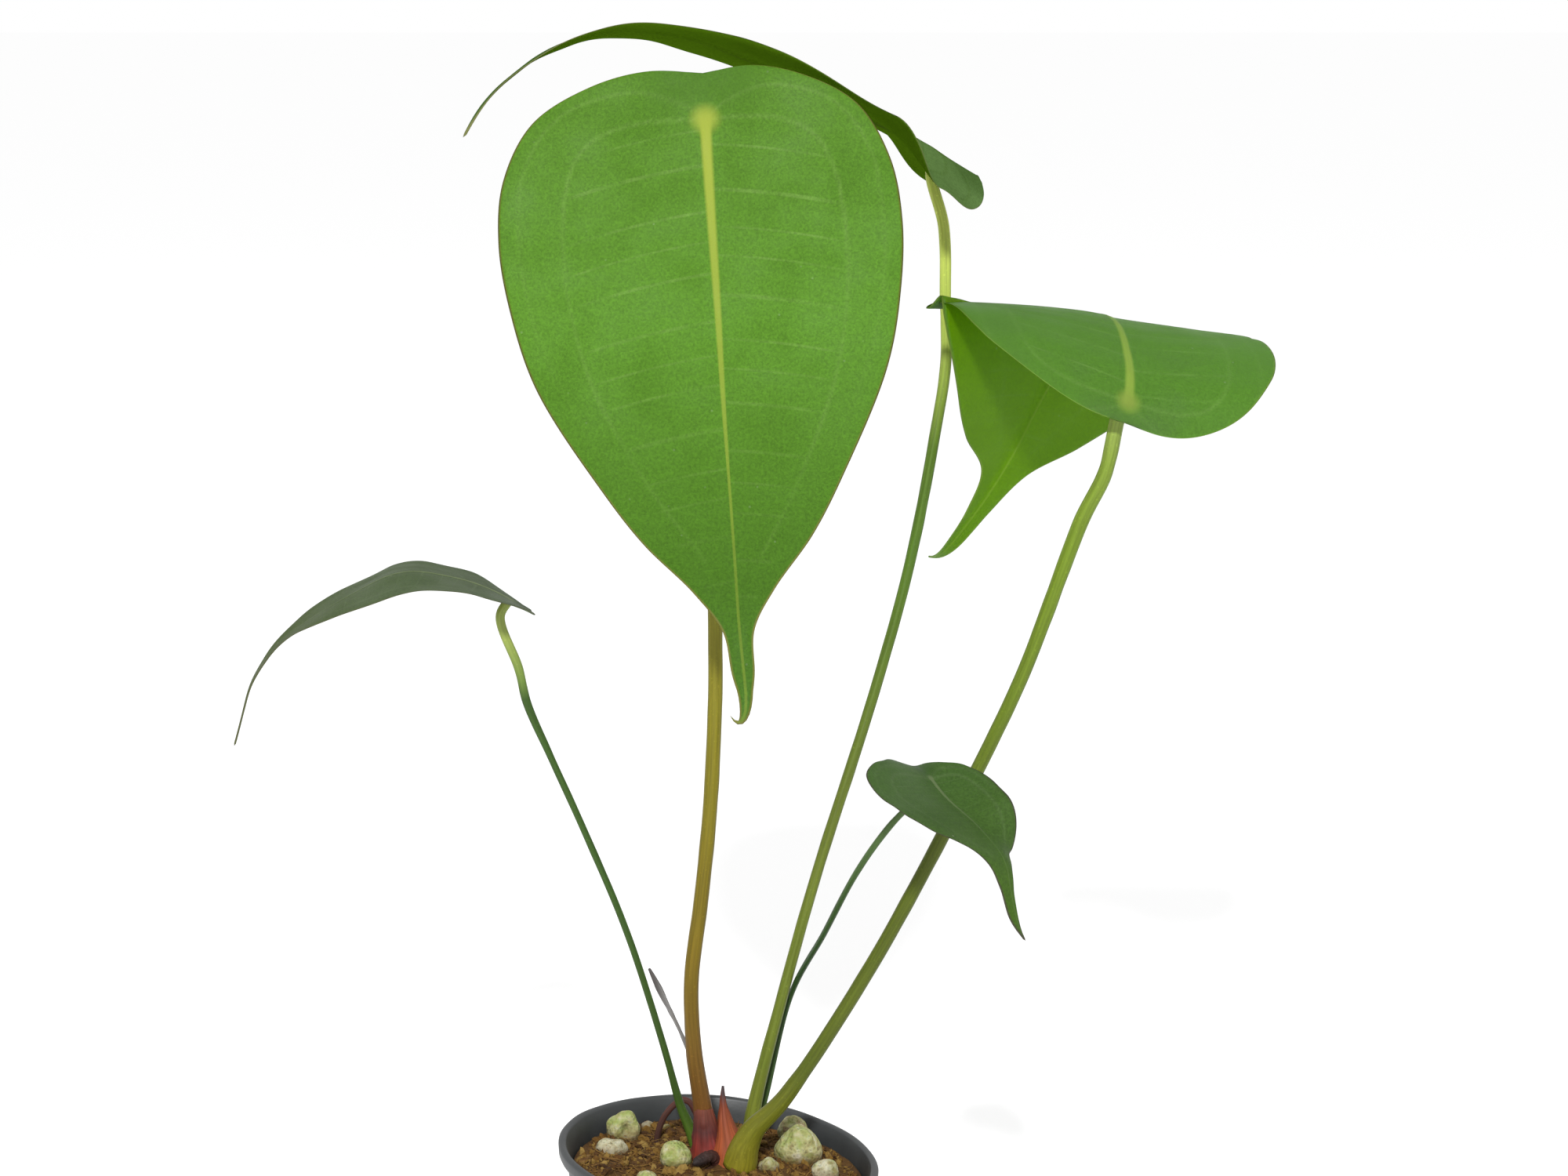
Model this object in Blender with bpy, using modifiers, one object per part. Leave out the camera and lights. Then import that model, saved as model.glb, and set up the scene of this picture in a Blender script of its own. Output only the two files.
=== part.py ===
"""Potted anthurium: five heart-shaped leaves on slender stalks, growing from a short crown in a soft black pot.

Lengths are in millimetres and turned into metres when a mesh is made.
The origin is the centre of the pot's base, +Z is up and the showy leaf faces -Y.
"""

import math

import bmesh
import bpy
import numpy as np

MM = 0.001

# ---------------------------------------------------------------- driving sizes, mm and degrees
GAP = 0.35  # clearance left between neighbouring pieces
BLADE_THICKNESS = 0.7
SEAT_GAP = 0.8  # under a blade, whose facets stand a little off its true surface

POT_HEIGHT = 85.0
POT_TOP_RADIUS = 48.4
POT_RIM_WIDTH = 2.6  # the rolled rim stands out this far from the wall
POT_RIM_RADIUS = POT_TOP_RADIUS + POT_RIM_WIDTH
POT_BASE_RADIUS = 36.0
POT_WALL = 1.0
POT_FLOOR = 1.2
POT_FLAT = 2.0  # up to this height the pot is true
POT_RIM_DEPTH = 5.0
POT_LIFT = 4.9  # the soft rim stands this much high on one side and low on the other
POT_LIFT_AT = 164.0
POT_OVAL = 0.013
POT_OVAL_AT = -46.0
DRAIN_HOLES = 6
DRAIN_RADIUS = 4.0
DRAIN_CIRCLE = 24.0
DRAIN_TURN = 32.0

MIX_TOP = 78.0
MIX_ROUGHNESS = 0.9

CROWN_CENTRE = (1.5, 8.5)
CROWN_HALF_WIDTHS = (12.0, 14.0)
CROWN_PROUD = 2.0  # above the mix
CROWN_DEPTH = 24.0
CROWN_TOP = MIX_TOP + CROWN_PROUD
CROWN_BOTTOM = CROWN_TOP - CROWN_DEPTH
FRONT_FOOT_RADIUS = 3.2  # of the front leaf's stalk, which the two sheaths stand beside
FRONT_FOOT = (-3.5, 10.0)
ROOT_RADIUS = 1.9
ROOT_ENDS = ((24, -8, 22), (-22, -14, 26), (-16, 28, 20), (20, 30, 30), (3, -26, 14), (4, 12, 12))

TURNS = 48  # facets round the pot
BLADE_ROWS = 30
BLADE_COLUMNS = 5

# Half outline of a blade: along the midrib as a share of the blade, then out as a share of the half width.
HEART = ((-0.10, 0), (-0.11, 0.27), (-0.08, 0.54), (-0.01, 0.81), (0.11, 0.96), (0.24, 1.0), (0.38, 0.97),
         (0.55, 0.87), (0.77, 0.60), (0.89, 0.42))
DEEP_HEART = ((-0.20, 0), (-0.19, 0.29), (-0.10, 0.56), (-0.03, 0.81), (0.10, 0.98), (0.24, 1.0), (0.38, 0.97),
              (0.57, 0.90), (0.79, 0.62), (0.87, 0.40))
BLUNT_HEART = ((-0.06, 0), (-0.06, 0.27), (-0.03, 0.51), (0.04, 0.76), (0.14, 0.94), (0.25, 1.03), (0.38, 1.04),
               (0.60, 1.08), (0.81, 0.73), (0.90, 0.51))

# blade and drip: length to the shoulder and of the narrow tip. half: the widest half width to the left and right.
# at: the joint with the stalk. aim: heading, rise and roll of the midrib there. arch: its slope along the leaf.
# fold and curl: how far each half lifts from flat, and how much more at its edge. sway: the midrib's side step.
LEAVES = {
    "front": {
        "blade": 140.0, "drip": 38.5, "half": (56.0, 63.0), "heart": HEART, "shoulder": 0.20, "tip": (0.08, 0.055),
        "at": (-2.5, -20.0, 411.0), "aim": (-74.0, -78.0, 17.0), "oblique": 0.0,
        "arch": ((-0.2, 14), (0, 6), (0.3, 0), (0.7, -4), (0.9, 2), (1, 10)),
        "fold": (((-0.1, 3), (1, 6)), ((-0.1, 3), (1, 6))), "curl": ((-4, -4), (-4, -4)),
        "sway": ((0, 0), (0.4, 0.65), (0.8, 1.35), (1, 2.5)),
    },
    "back": {
        "blade": 138.5, "drip": 35.0, "half": (52.0, 52.0), "heart": HEART, "shoulder": 0.20, "tip": (0.10, 0.06),
        "at": (70.0, 45.0, 398.0), "aim": (198.0, 5.0, 5.0), "oblique": 0.0,
        "arch": ((-0.2, 21), (0, 26), (0.15, 17), (0.3, 23), (0.45, 15), (0.6, -0.5), (0.72, -22), (0.85, -42),
                 (1, -65)),
        "fold": (((-0.1, -38), (0.05, -29), (0.2, -11), (0.5, -5), (0.75, 1.5), (1, 4)),
                 ((-0.1, -15), (0.05, 3), (0.25, 3), (0.5, 1), (1, -13))),
        "curl": ((9, 0), (16, -4)), "sway": ((0, 0), (1, 0)),
    },
    "right": {
        "blade": 124.0, "drip": 53.5, "half": (50.0, 47.0), "heart": BLUNT_HEART, "shoulder": 0.20,
        "tip": (0.10, 0.06),
        "at": (122.5, -32.0, 328.5), "aim": (80.0, 45.0, 27.0), "oblique": -1.0,
        "arch": ((-0.15, 7), (0, 5), (0.11, -19), (0.34, -53), (0.42, -133), (0.7, -116), (0.85, -102), (1, -55)),
        "fold": (((-0.1, 9.5), (0.08, -4), (0.3, -11.5), (0.6, -36), (1, -50)),
                 ((-0.1, -9), (0.08, 10), (0.3, 9.5), (0.6, 27), (1, 8))),
        "curl": ((-9, 0), (3.5, -3)), "sway": ((0, 0), (0.3, 1.7), (0.6, 6.5), (1, 11.2)),
    },
    "left": {
        "blade": 75.5, "drip": 39.5, "half": (28.0, 30.5), "heart": HEART, "shoulder": 0.24, "tip": (0.14, 0.09),
        "at": (-64.5, 5.0, 262.5), "aim": (187.5, 0.0, -0.5), "oblique": 0.0,
        "arch": ((-0.2, 47), (0, 29), (0.2, 13), (0.4, -27), (0.6, -33), (0.75, -55), (0.88, -75), (1, -74)),
        "fold": (((-0.1, 7), (0.1, 0), (0.35, -6), (0.7, 3), (1, 5)),
                 ((-0.1, -10), (0.1, -5), (0.35, -6), (0.7, 8.5), (1, -5.5))),
        "curl": ((6.5, -6.5), (4.5, 1.5)), "sway": ((0, 0), (0.5, 2.3), (1, -1.7)),
    },
    "small": {
        "blade": 40.0, "drip": 23.0, "half": (17.0, 34.0), "heart": DEEP_HEART, "shoulder": 0.22,
        "tip": (0.12, 0.08),
        "at": (64.5, -42.0, 216.5), "aim": (-50.0, -14.5, -9.5), "oblique": -2.0,
        "arch": ((-0.15, 21), (0, -20), (0.25, -6), (0.5, -17), (0.7, -55), (0.85, -50), (1, -25)),
        "fold": (((-0.1, 21.5), (0.3, 34), (0.6, -30), (1, -12)), ((-0.1, 14), (0.3, 9), (0.6, 11), (1, -7))),
        "curl": ((0, 4), (-5.5, -4.5)), "sway": ((0, 0), (0.4, -0.3), (0.7, 0.4), (1, 0.3)),
    },
}

# Each stalk: the points it passes, and its radius at the crown, half way and under the blade. Points of the foot
# give their height over the crown. The stretch under the blade is the joint that turns the leaf.
STALK_FEET = {
    "front": ((*FRONT_FOOT, 0), (-3.8, 9.5, 6), (-5, 8, 15)),
    "back": ((9.5, 13, 0), (10.2, 13.3, 7), (11.2, 13.5, 15.5)),
    "right": ((6.5, 0, 0), (8.3, -0.8, 7), (11.3, -2, 13)),
    "left": ((-7, 15, 0), (-9.5, 15.2, 7), (-12.6, 15, 15)),
    "small": ((9.5, 18, 0), (11.5, 18.7, 7), (14.6, 19.8, 16.3)),
}
STALKS = {
    "front": (((-7.9, 5, 117), (-8.5, 3, 141), (-5.7, 3, 164), (-2.6, 4, 194), (-0.8, 6, 229), (-0.7, 7, 256),
               (-1.5, 4, 303), (-2.3, 1, 352), (-2.5, -2, 385)), (FRONT_FOOT_RADIUS, 2.3, 2.1)),
    "back": (((18.2, 16, 123.5), (30.8, 23, 168.5), (48.4, 32, 223), (60.9, 39, 267.5), (69.5, 43, 312.5),
              (72.3, 44.5, 332), (72, 45, 352), (71.3, 45, 375)), (2.4, 1.75, 1.8)),
    "right": (((20.8, -4, 104), (45.2, -9, 144), (69.1, -15, 191), (92.2, -21, 241.5), (110, -25, 292),
               (116.8, -26.5, 307)), (3.8, 2.2, 2.3)),
    "left": (((-18.2, 14, 116.5), (-29.2, 12, 153.5), (-42.4, 10, 187.5), (-53.2, 9, 213), (-59.7, 8, 229),
              (-62, 7, 240)), (1.7, 1.1, 1.45)),
    "small": (((22.3, 21.5, 128.2), (33.4, -4, 158), (43.5, -25, 184), (53, -36.5, 201)), (1.3, 0.95, 1.0)),
}

# Small parts round the crown: path as (x, y, height over the crown), radius along it, and how far it is
# flattened front to back. The sheaths keep their distance from the front stalk's foot.
ORANGE_AT = (FRONT_FOOT[0] + FRONT_FOOT_RADIUS + 3.3, FRONT_FOOT[1] - 3.0)
RED_AT = (FRONT_FOOT[0] - 3.0, FRONT_FOOT[1] - FRONT_FOOT_RADIUS - 2.0)
SHEATHS = {
    "sheath_orange": (((*ORANGE_AT, 0), (ORANGE_AT[0] - 0.4, ORANGE_AT[1] + 0.2, 7),
                       (ORANGE_AT[0] - 1.4, ORANGE_AT[1] + 1.0, 14), (ORANGE_AT[0] - 1.9, ORANGE_AT[1] + 2.0, 19.5),
                       (ORANGE_AT[0] - 1.8, ORANGE_AT[1] + 2.6, 23)),
                      (4.0, 3.8, 2.4, 1.1, 0.4), 0.45),
    "sheath_red": (((*RED_AT, 0), (RED_AT[0] - 0.2, RED_AT[1] + 0.1, 5), (RED_AT[0] + 0.3, RED_AT[1] + 0.3, 10),
                    (RED_AT[0] + 0.7, RED_AT[1] + 0.5, 13.5)),
                   (2.2, 2.2, 1.3, 0.4), 0.6),
    "old_stub": (((-0.5, 2, 0.5), (-2.5, -0.5, 3.4), (-5.5, -3.7, 3.4), (-8, -6, 2.8)),
                 (1.8, 1.8, 1.6, 1.2), 1.0),
    "dried_stalk": (((-2.8, 16.5, 0), (-4.2, 15.5, 10), (-7, 13, 23), (-9.6, 11, 33.5), (-11.8, 9, 40.5),
                     (-16.6, 6, 52), (-20.6, 4.3, 61.2), (-21.9, 4, 64)),
                    (0.9, 0.75, 0.6, 0.55, 0.55, 0.6, 1.0, 1.1), 1.0),
    "aerial_root": (((-5, 19.5, 0), (-6.8, 20, 8), (-9.7, 20.2, 14.2), (-12.4, 20.3, 15), (-15.5, 20.4, 12.7),
                     (-18.6, 20.6, 8.3), (-20.4, 21, 2), (-20.8, 21.1, -7)),
                    (1.1, 1.1, 1.05, 1.05, 1.0, 1.0, 0.95, 0.9), 1.0),
}

# The mix is heaped a little: place, height and spread of each heap.
HEAPS = (((2.0, 8.0), 1.4, 18.0), ((26.0, 17.0), 3.8, 13.0))

CROWN_LEFT = CROWN_CENTRE[0] - CROWN_HALF_WIDTHS[0]
CROWN_RIGHT = CROWN_CENTRE[0] + CROWN_HALF_WIDTHS[0]


def outer_radius(height):
    return POT_BASE_RADIUS + (POT_TOP_RADIUS - POT_BASE_RADIUS) * height / (POT_HEIGHT - POT_RIM_DEPTH)


MIX_RADIUS = outer_radius(MIX_TOP) - POT_WALL - GAP


def from_wall(inset, bearing):
    """Place in plan this far in from the mix's edge, at this bearing from +X."""
    angle = math.radians(bearing)
    return (MIX_RADIUS - inset) * math.cos(angle), (MIX_RADIUS - inset) * math.sin(angle)


# Pumice lumps: place in plan, full size, and how deep each is sunk in the mix.
LUMPS = {
    "pumice_hollow": (from_wall(6.2, 140.8), (11.0, 9.4, 12.8), 4.6),
    "pumice_white": (from_wall(10.2, 160.5), (11.0, 9.0, 9.0), 4.3),
    "pumice_bead": (from_wall(3.8, 124.0), (4.6, 4.6, 4.4), 2.6),
    "pumice_pink": (from_wall(9.0, 118.5), (3.8, 4.0, 3.6), 2.0),
    "pumice_round": ((CROWN_LEFT - 3.4, 0.2), (10.2, 9.4, 11.0), 3.6),
    "pumice_cap": (from_wall(13.1, 44.4), (9.4, 8.4, 9.0), 1.6),
    "pumice_tall": (from_wall(19.8, 20.5), (14.0, 11.0, 16.0), 6.4),
    "pumice_low": (from_wall(12.7, -2.0), (9.0, 8.4, 8.0), 3.0),
    "pumice_near": ((CROWN_RIGHT + 2.3, 0.4), (6.0, 5.6, 5.6), 2.0),
    "pumice_front": (from_wall(17.5, -82.1), (11.0, 9.6, 9.0), 3.6),
    "pumice_front_left": (from_wall(17.6, -140.6), (9.0, 10.0, 8.6), 3.6),
    "pumice_front_right": (from_wall(12.5, -37.9), (8.4, 7.6, 7.2), 3.0),
}

# Flat chips of bark lying in the mix: place, full size, heading, and depth sunk.
CHIPS = {
    "bark_chip_left": (from_wall(3.7, 172.0), (9.0, 4.0, 2.0), 76.0, 1.1),
    "bark_chip_back": (from_wall(11.1, 85.2), (11.0, 4.4, 2.0), 14.0, 1.1),
    "bark_chip_front": (from_wall(12.4, -106.1), (10.0, 4.6, 2.0), -28.0, 1.1),
    "bark_chip_right": (from_wall(9.1, -17.0), (9.0, 3.8, 2.0), 74.0, 1.1),
    "bark_chip_edge": (from_wall(5.7, -148.4), (8.0, 3.6, 2.0), 128.0, 1.1),
}

# ---------------------------------------------------------------- scene and finishes
for obj in list(bpy.data.objects):
    bpy.data.objects.remove(obj, do_unlink=True)

PLANT = bpy.data.collections.new("potted_anthurium")
CUTTERS = bpy.data.collections.new("cutters")
POCKETS = bpy.data.collections.new("pockets_in_mix")
for group in (PLANT, CUTTERS, POCKETS):
    bpy.context.scene.collection.children.link(group)


def finish(name, colour, roughness, metallic=0.0):
    material = bpy.data.materials.new(name)
    material.use_nodes = True
    shader = material.node_tree.nodes["Principled BSDF"]
    shader.inputs["Base Color"].default_value = (*colour, 1.0)
    shader.inputs["Roughness"].default_value = roughness
    shader.inputs["Metallic"].default_value = metallic
    material.diffuse_color = (*colour, 1.0)
    return material


BLADE_COLOURS = {"front": (0.14, 0.31, 0.035), "back": (0.055, 0.13, 0.01), "right": (0.11, 0.21, 0.05),
                 "left": (0.10, 0.16, 0.07), "small": (0.08, 0.15, 0.04)}
STALK_COLOURS = {"front": (0.19, 0.17, 0.015), "back": (0.17, 0.24, 0.04), "right": (0.13, 0.19, 0.02),
                 "left": (0.05, 0.11, 0.02), "small": (0.04, 0.09, 0.02)}
SHEATH_COLOURS = {"sheath_orange": (0.33, 0.11, 0.03), "sheath_red": (0.22, 0.05, 0.02),
                  "old_stub": (0.05, 0.02, 0.015), "dried_stalk": (0.13, 0.13, 0.12),
                  "aerial_root": (0.06, 0.025, 0.015)}


# ---------------------------------------------------------------- helpers
def add_mesh(name, points, faces, material, group):
    mesh = bpy.data.meshes.new(name)
    mesh.from_pydata((np.asarray(points, float) * MM).tolist(), [], faces)
    return add_object(name, mesh, material, group)


def add_object(name, mesh, material, group, weld=True):
    if weld:
        shape = bmesh.new()
        shape.from_mesh(mesh)
        bmesh.ops.remove_doubles(shape, verts=shape.verts, dist=1e-6)
        bmesh.ops.recalc_face_normals(shape, faces=shape.faces)
        if shape.calc_volume(signed=True) < 0:
            bmesh.ops.reverse_faces(shape, faces=shape.faces)
        shape.to_mesh(mesh)
        shape.free()
    mesh.shade_smooth()
    made = bpy.data.objects.new(name, mesh)
    if material is not None:
        mesh.materials.clear()
        mesh.materials.append(material)
    group.objects.link(made)
    if group is not PLANT:
        made.hide_render = True
        made.display_type = "WIRE"
    return made


def smooth_path(points, count):
    """Centripetal Catmull-Rom curve through the points, as count points evenly spaced along it."""
    knots = np.asarray(points, float)
    knots = np.vstack([2 * knots[0] - knots[1], knots, 2 * knots[-1] - knots[-2]])
    time = np.concatenate([[0], np.cumsum(np.sqrt(np.linalg.norm(np.diff(knots, axis=0), axis=1)))])
    runs = []
    for i in range(1, len(knots) - 2):
        t = np.linspace(time[i], time[i + 1], 40, endpoint=False)[:, None]

        def blend(a, b, start, end, t=t):
            return ((end - t) * a + (t - start) * b) / (end - start)

        first = blend(knots[i - 1], knots[i], time[i - 1], time[i])
        second = blend(knots[i], knots[i + 1], time[i], time[i + 1])
        third = blend(knots[i + 1], knots[i + 2], time[i + 1], time[i + 2])
        lower = blend(first, second, time[i - 1], time[i + 1])
        upper = blend(second, third, time[i], time[i + 2])
        runs.append(blend(lower, upper, time[i], time[i + 1]))
    curve = np.vstack([*runs, knots[-2][None]])
    length = np.concatenate([[0], np.cumsum(np.linalg.norm(np.diff(curve, axis=0), axis=1))])
    steps = np.linspace(0, length[-1], count)
    return np.stack([np.interp(steps, length, curve[:, axis]) for axis in range(curve.shape[1])], axis=1)


def eased(x, pairs):
    """Value at x from (position, value) pairs, easing in and out at each."""
    places = np.array([pair[0] for pair in pairs], float)
    values = np.array([pair[1] for pair in pairs], float)
    i = np.clip(np.searchsorted(places, x, side="right") - 1, 0, len(places) - 2)
    u = np.clip((x - places[i]) / (places[i + 1] - places[i]), 0, 1)
    u = u * u * (3 - 2 * u)
    return values[i] * (1 - u) + values[i + 1] * u


def tube(name, points, radii, material, group, grow=0.0, flatten=1.0, sides=3, rings=24):
    """Round stalk through the points, from a curve with a round bevel and closed ends."""
    centres = smooth_path(points, rings)
    girths = np.interp(np.linspace(0, 1, rings), np.linspace(0, 1, len(radii)), radii) + grow
    curve = bpy.data.curves.new(name, "CURVE")
    curve.dimensions = "3D"
    curve.bevel_depth = MM
    curve.bevel_resolution = sides
    curve.use_fill_caps = True
    spline = curve.splines.new("POLY")
    spline.points.add(rings - 1)
    for point, centre, girth in zip(spline.points, centres, girths):
        point.co = (*(centre * MM), 1.0)
        point.radius = girth
    helper = bpy.data.objects.new(name + "_curve", curve)
    bpy.context.scene.collection.objects.link(helper)
    mesh = bpy.data.meshes.new_from_object(helper.evaluated_get(bpy.context.evaluated_depsgraph_get()))
    mesh.transform(helper.matrix_world)
    bpy.data.objects.remove(helper, do_unlink=True)
    if flatten != 1.0:
        middle = points[0][1] * MM
        for vertex in mesh.vertices:
            vertex.co.y = middle + (vertex.co.y - middle) * flatten
    return add_object(name, mesh, material, group)


# ---------------------------------------------------------------- soft pot
def soften(points):
    """The pot is thin and pressed out of round: oval towards the top, with one side of the rim standing higher."""
    x, y, z = (np.asarray(points, float)[:, axis] for axis in range(3))
    share = np.clip((z - POT_FLAT) / (POT_HEIGHT - POT_FLAT), 0, None) ** 2
    turn = math.radians(POT_OVAL_AT)
    along = x * math.cos(turn) + y * math.sin(turn)
    across = -x * math.sin(turn) + y * math.cos(turn)
    along = along * (1 + POT_OVAL * share)
    across = across * (1 - POT_OVAL * share)
    lift_at = math.radians(POT_LIFT_AT)
    lifted = z + POT_LIFT * share * (x * math.cos(lift_at) + y * math.sin(lift_at)) / POT_RIM_RADIUS
    return np.stack([along * math.cos(turn) - across * math.sin(turn),
                     along * math.sin(turn) + across * math.cos(turn), lifted], axis=1)


def turned(name, profile, material, reshape):
    """Body of revolution from a profile of (radius, height), then reshaped point by point."""
    mesh = bpy.data.meshes.new(name)
    mesh.from_pydata([(r * MM, 0, z * MM) for r, z in profile], [(i, i + 1) for i in range(len(profile) - 1)], [])
    helper = bpy.data.objects.new(name + "_profile", mesh)
    bpy.context.scene.collection.objects.link(helper)
    screw = helper.modifiers.new("turn", "SCREW")
    screw.steps = TURNS
    screw.render_steps = TURNS
    screw.use_merge_vertices = True
    screw.merge_threshold = 1e-5
    made = bpy.data.meshes.new_from_object(helper.evaluated_get(bpy.context.evaluated_depsgraph_get()))
    bpy.data.objects.remove(helper, do_unlink=True)
    points = np.empty(len(made.vertices) * 3)
    made.vertices.foreach_get("co", points)
    made.vertices.foreach_set("co", (reshape(points.reshape(-1, 3) / MM) * MM).ravel())
    made.update()
    shape = bmesh.new()
    shape.from_mesh(made)
    bmesh.ops.triangulate(shape, faces=shape.faces)
    shape.to_mesh(made)
    shape.free()
    return add_object(name, made, material, PLANT)


MIX_EDGE = MIX_TOP - 0.8  # the mix is rounded off at the wall
WALL_LEVELS = tuple(MIX_EDGE * share for share in (0.23, 0.44, 0.62, 0.78, 0.91, 1.0))
FLOOR_RINGS = (DRAIN_CIRCLE - DRAIN_RADIUS - 2, DRAIN_CIRCLE + DRAIN_RADIUS + 2)  # on both sides of the holes
shoulder = POT_HEIGHT - POT_RIM_DEPTH
inner_wall = [(outer_radius(z) - POT_WALL, z) for z in (POT_FLOOR, *WALL_LEVELS, shoulder)]
outer_wall = [(outer_radius(z), z) for z in (shoulder, *reversed(WALL_LEVELS), 2.0)]
rim = [(POT_TOP_RADIUS - 0.2, POT_HEIGHT - 1.0), (POT_RIM_RADIUS - 1.4, POT_HEIGHT + 0.3),
       (POT_RIM_RADIUS - 0.3, POT_HEIGHT - 0.4), (POT_RIM_RADIUS, POT_HEIGHT - 2.4),
       (POT_RIM_RADIUS - 0.6, POT_HEIGHT - 3.8), (POT_TOP_RADIUS + 0.5, POT_HEIGHT - 4.2)]
pot = turned("pot_shell",
             [(0, POT_FLOOR), *((r, POT_FLOOR) for r in FLOOR_RINGS), *inner_wall, *rim, *outer_wall,
              (POT_BASE_RADIUS - 0.9, 0), *((r, 0) for r in reversed(FLOOR_RINGS)), (0, 0)],
             finish("matt black plastic", (0.05, 0.055, 0.055), 0.55), soften)

for hole in range(DRAIN_HOLES):
    angle = math.radians(DRAIN_TURN + 360 * hole / DRAIN_HOLES)
    drill = bmesh.new()
    bmesh.ops.create_cone(drill, cap_ends=True, segments=20, radius1=DRAIN_RADIUS * MM, radius2=DRAIN_RADIUS * MM,
                          depth=6 * MM)
    bmesh.ops.translate(drill, verts=drill.verts,
                        vec=(DRAIN_CIRCLE * math.cos(angle) * MM, DRAIN_CIRCLE * math.sin(angle) * MM, 0))
    drill_mesh = bpy.data.meshes.new("drain_drill")
    drill.to_mesh(drill_mesh)
    drill.free()
    cut = pot.modifiers.new("drain", "BOOLEAN")
    cut.operation = "DIFFERENCE"
    cut.solver = "EXACT"
    cut.object = add_object(f"drain_drill_{hole + 1}", drill_mesh, None, CUTTERS)


# ---------------------------------------------------------------- crown and roots, one natural piece
def crown(name, group, material, grow, top):
    """Short thick stem standing in the mix, oval in plan and narrowing downwards, with its roots joined on."""
    rings = ((CROWN_BOTTOM - grow, 0.55), (CROWN_BOTTOM + 6, 0.72), (CROWN_BOTTOM + 14, 0.90), (CROWN_TOP - 4, 1.0),
             (CROWN_TOP, 0.97), (top, 0.97))
    rings = rings if top > CROWN_TOP else rings[:-1]
    turns = np.linspace(0, 2 * math.pi, 20, endpoint=False)
    points = []
    for height, share in rings:
        wobble = 1 + 0.03 * np.sin(3 * turns + height / 7)
        points.append(np.stack([CROWN_CENTRE[0] + (CROWN_HALF_WIDTHS[0] * share * wobble + grow) * np.cos(turns),
                                CROWN_CENTRE[1] + (CROWN_HALF_WIDTHS[1] * share * wobble + grow) * np.sin(turns),
                                np.full(len(turns), height)], axis=1))
    count = len(turns)
    faces = [(ring * count + i, ring * count + (i + 1) % count, (ring + 1) * count + (i + 1) % count,
              (ring + 1) * count + i) for ring in range(len(rings) - 1) for i in range(count)]
    faces += [tuple(range(count)), tuple(range((len(rings) - 1) * count, len(rings) * count))]
    body = add_mesh(name, np.vstack(points), faces, material, group)
    body.data.shade_flat()
    for number, (x, y, z) in enumerate(ROOT_ENDS, 1):
        start = (CROWN_CENTRE[0] + 0.15 * x, CROWN_CENTRE[1] + 0.15 * y, CROWN_BOTTOM + 6)
        bend = (CROWN_CENTRE[0] + 0.6 * x, CROWN_CENTRE[1] + 0.5 * (y - CROWN_CENTRE[1]), (z + CROWN_BOTTOM) / 2 + 6)
        root = tube(f"{name}_root_{number}", (start, bend, (x, y, z)), (ROOT_RADIUS, ROOT_RADIUS, ROOT_RADIUS * 0.6),
                    None, CUTTERS, grow=grow, sides=1, rings=9)
        join = body.modifiers.new(f"root_{number}", "BOOLEAN")
        join.operation = "UNION"
        join.solver = "EXACT"
        join.object = root
    return body


crown("crown_and_roots", PLANT, finish("brown crown", (0.12, 0.06, 0.03), 0.8), 0.0, CROWN_TOP)
crown("crown_room", POCKETS, None, GAP, MIX_TOP + 20)


# ---------------------------------------------------------------- top of the mix, lumps and chips
def mix_surface(points):
    """Lumpy top of the mix: heaps and a few crossing waves that die out at the pot's wall."""
    x, y, z = points[:, 0], points[:, 1], points[:, 2]
    fade = np.clip((POT_TOP_RADIUS - 5 - np.hypot(x, y)) / 8, 0, 1)
    waves = np.sin(x / 3.7 + 1.3 * np.sin(y / 6.1)) + np.cos(y / 4.3 - 0.9 * np.sin(x / 5.2))
    raised = MIX_ROUGHNESS * 0.5 * waves
    for place, height, spread in HEAPS:
        raised += height * np.exp(-((x - place[0]) ** 2 + (y - place[1]) ** 2) / (2 * spread**2))
    return soften(np.stack([x, y, z + np.where(z > MIX_TOP - 0.4, fade * raised, 0)], axis=1))


def resting(place, depth, sunk):
    """Centre of a piece of this depth, set down at the place and sunk in the mix."""
    surface = mix_surface(np.array([[*place, MIX_TOP]]))[0, 2]
    return (*place, surface + depth / 2 - sunk)


def lump(name, centre, size, group, material, grow=0.0):
    """Rounded broken stone: a ball with deterministic dents."""
    shape = bmesh.new()
    bmesh.ops.create_icosphere(shape, subdivisions=2, radius=1.0)
    phase = sum(centre)
    for vertex in shape.verts:
        way = vertex.co.normalized()
        dent = 1 + 0.07 * math.sin(3.1 * way.x + phase) * math.cos(2.7 * way.y - phase)
        dent += 0.05 * math.sin(5.3 * way.z + 2.1 * way.x + 2 * phase)
        vertex.co = [(centre[i] + way[i] * (size[i] / 2 * dent + grow)) * MM for i in range(3)]
    mesh = bpy.data.meshes.new(name)
    shape.to_mesh(mesh)
    shape.free()
    return add_object(name, mesh, material, group, weld=False)


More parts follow.
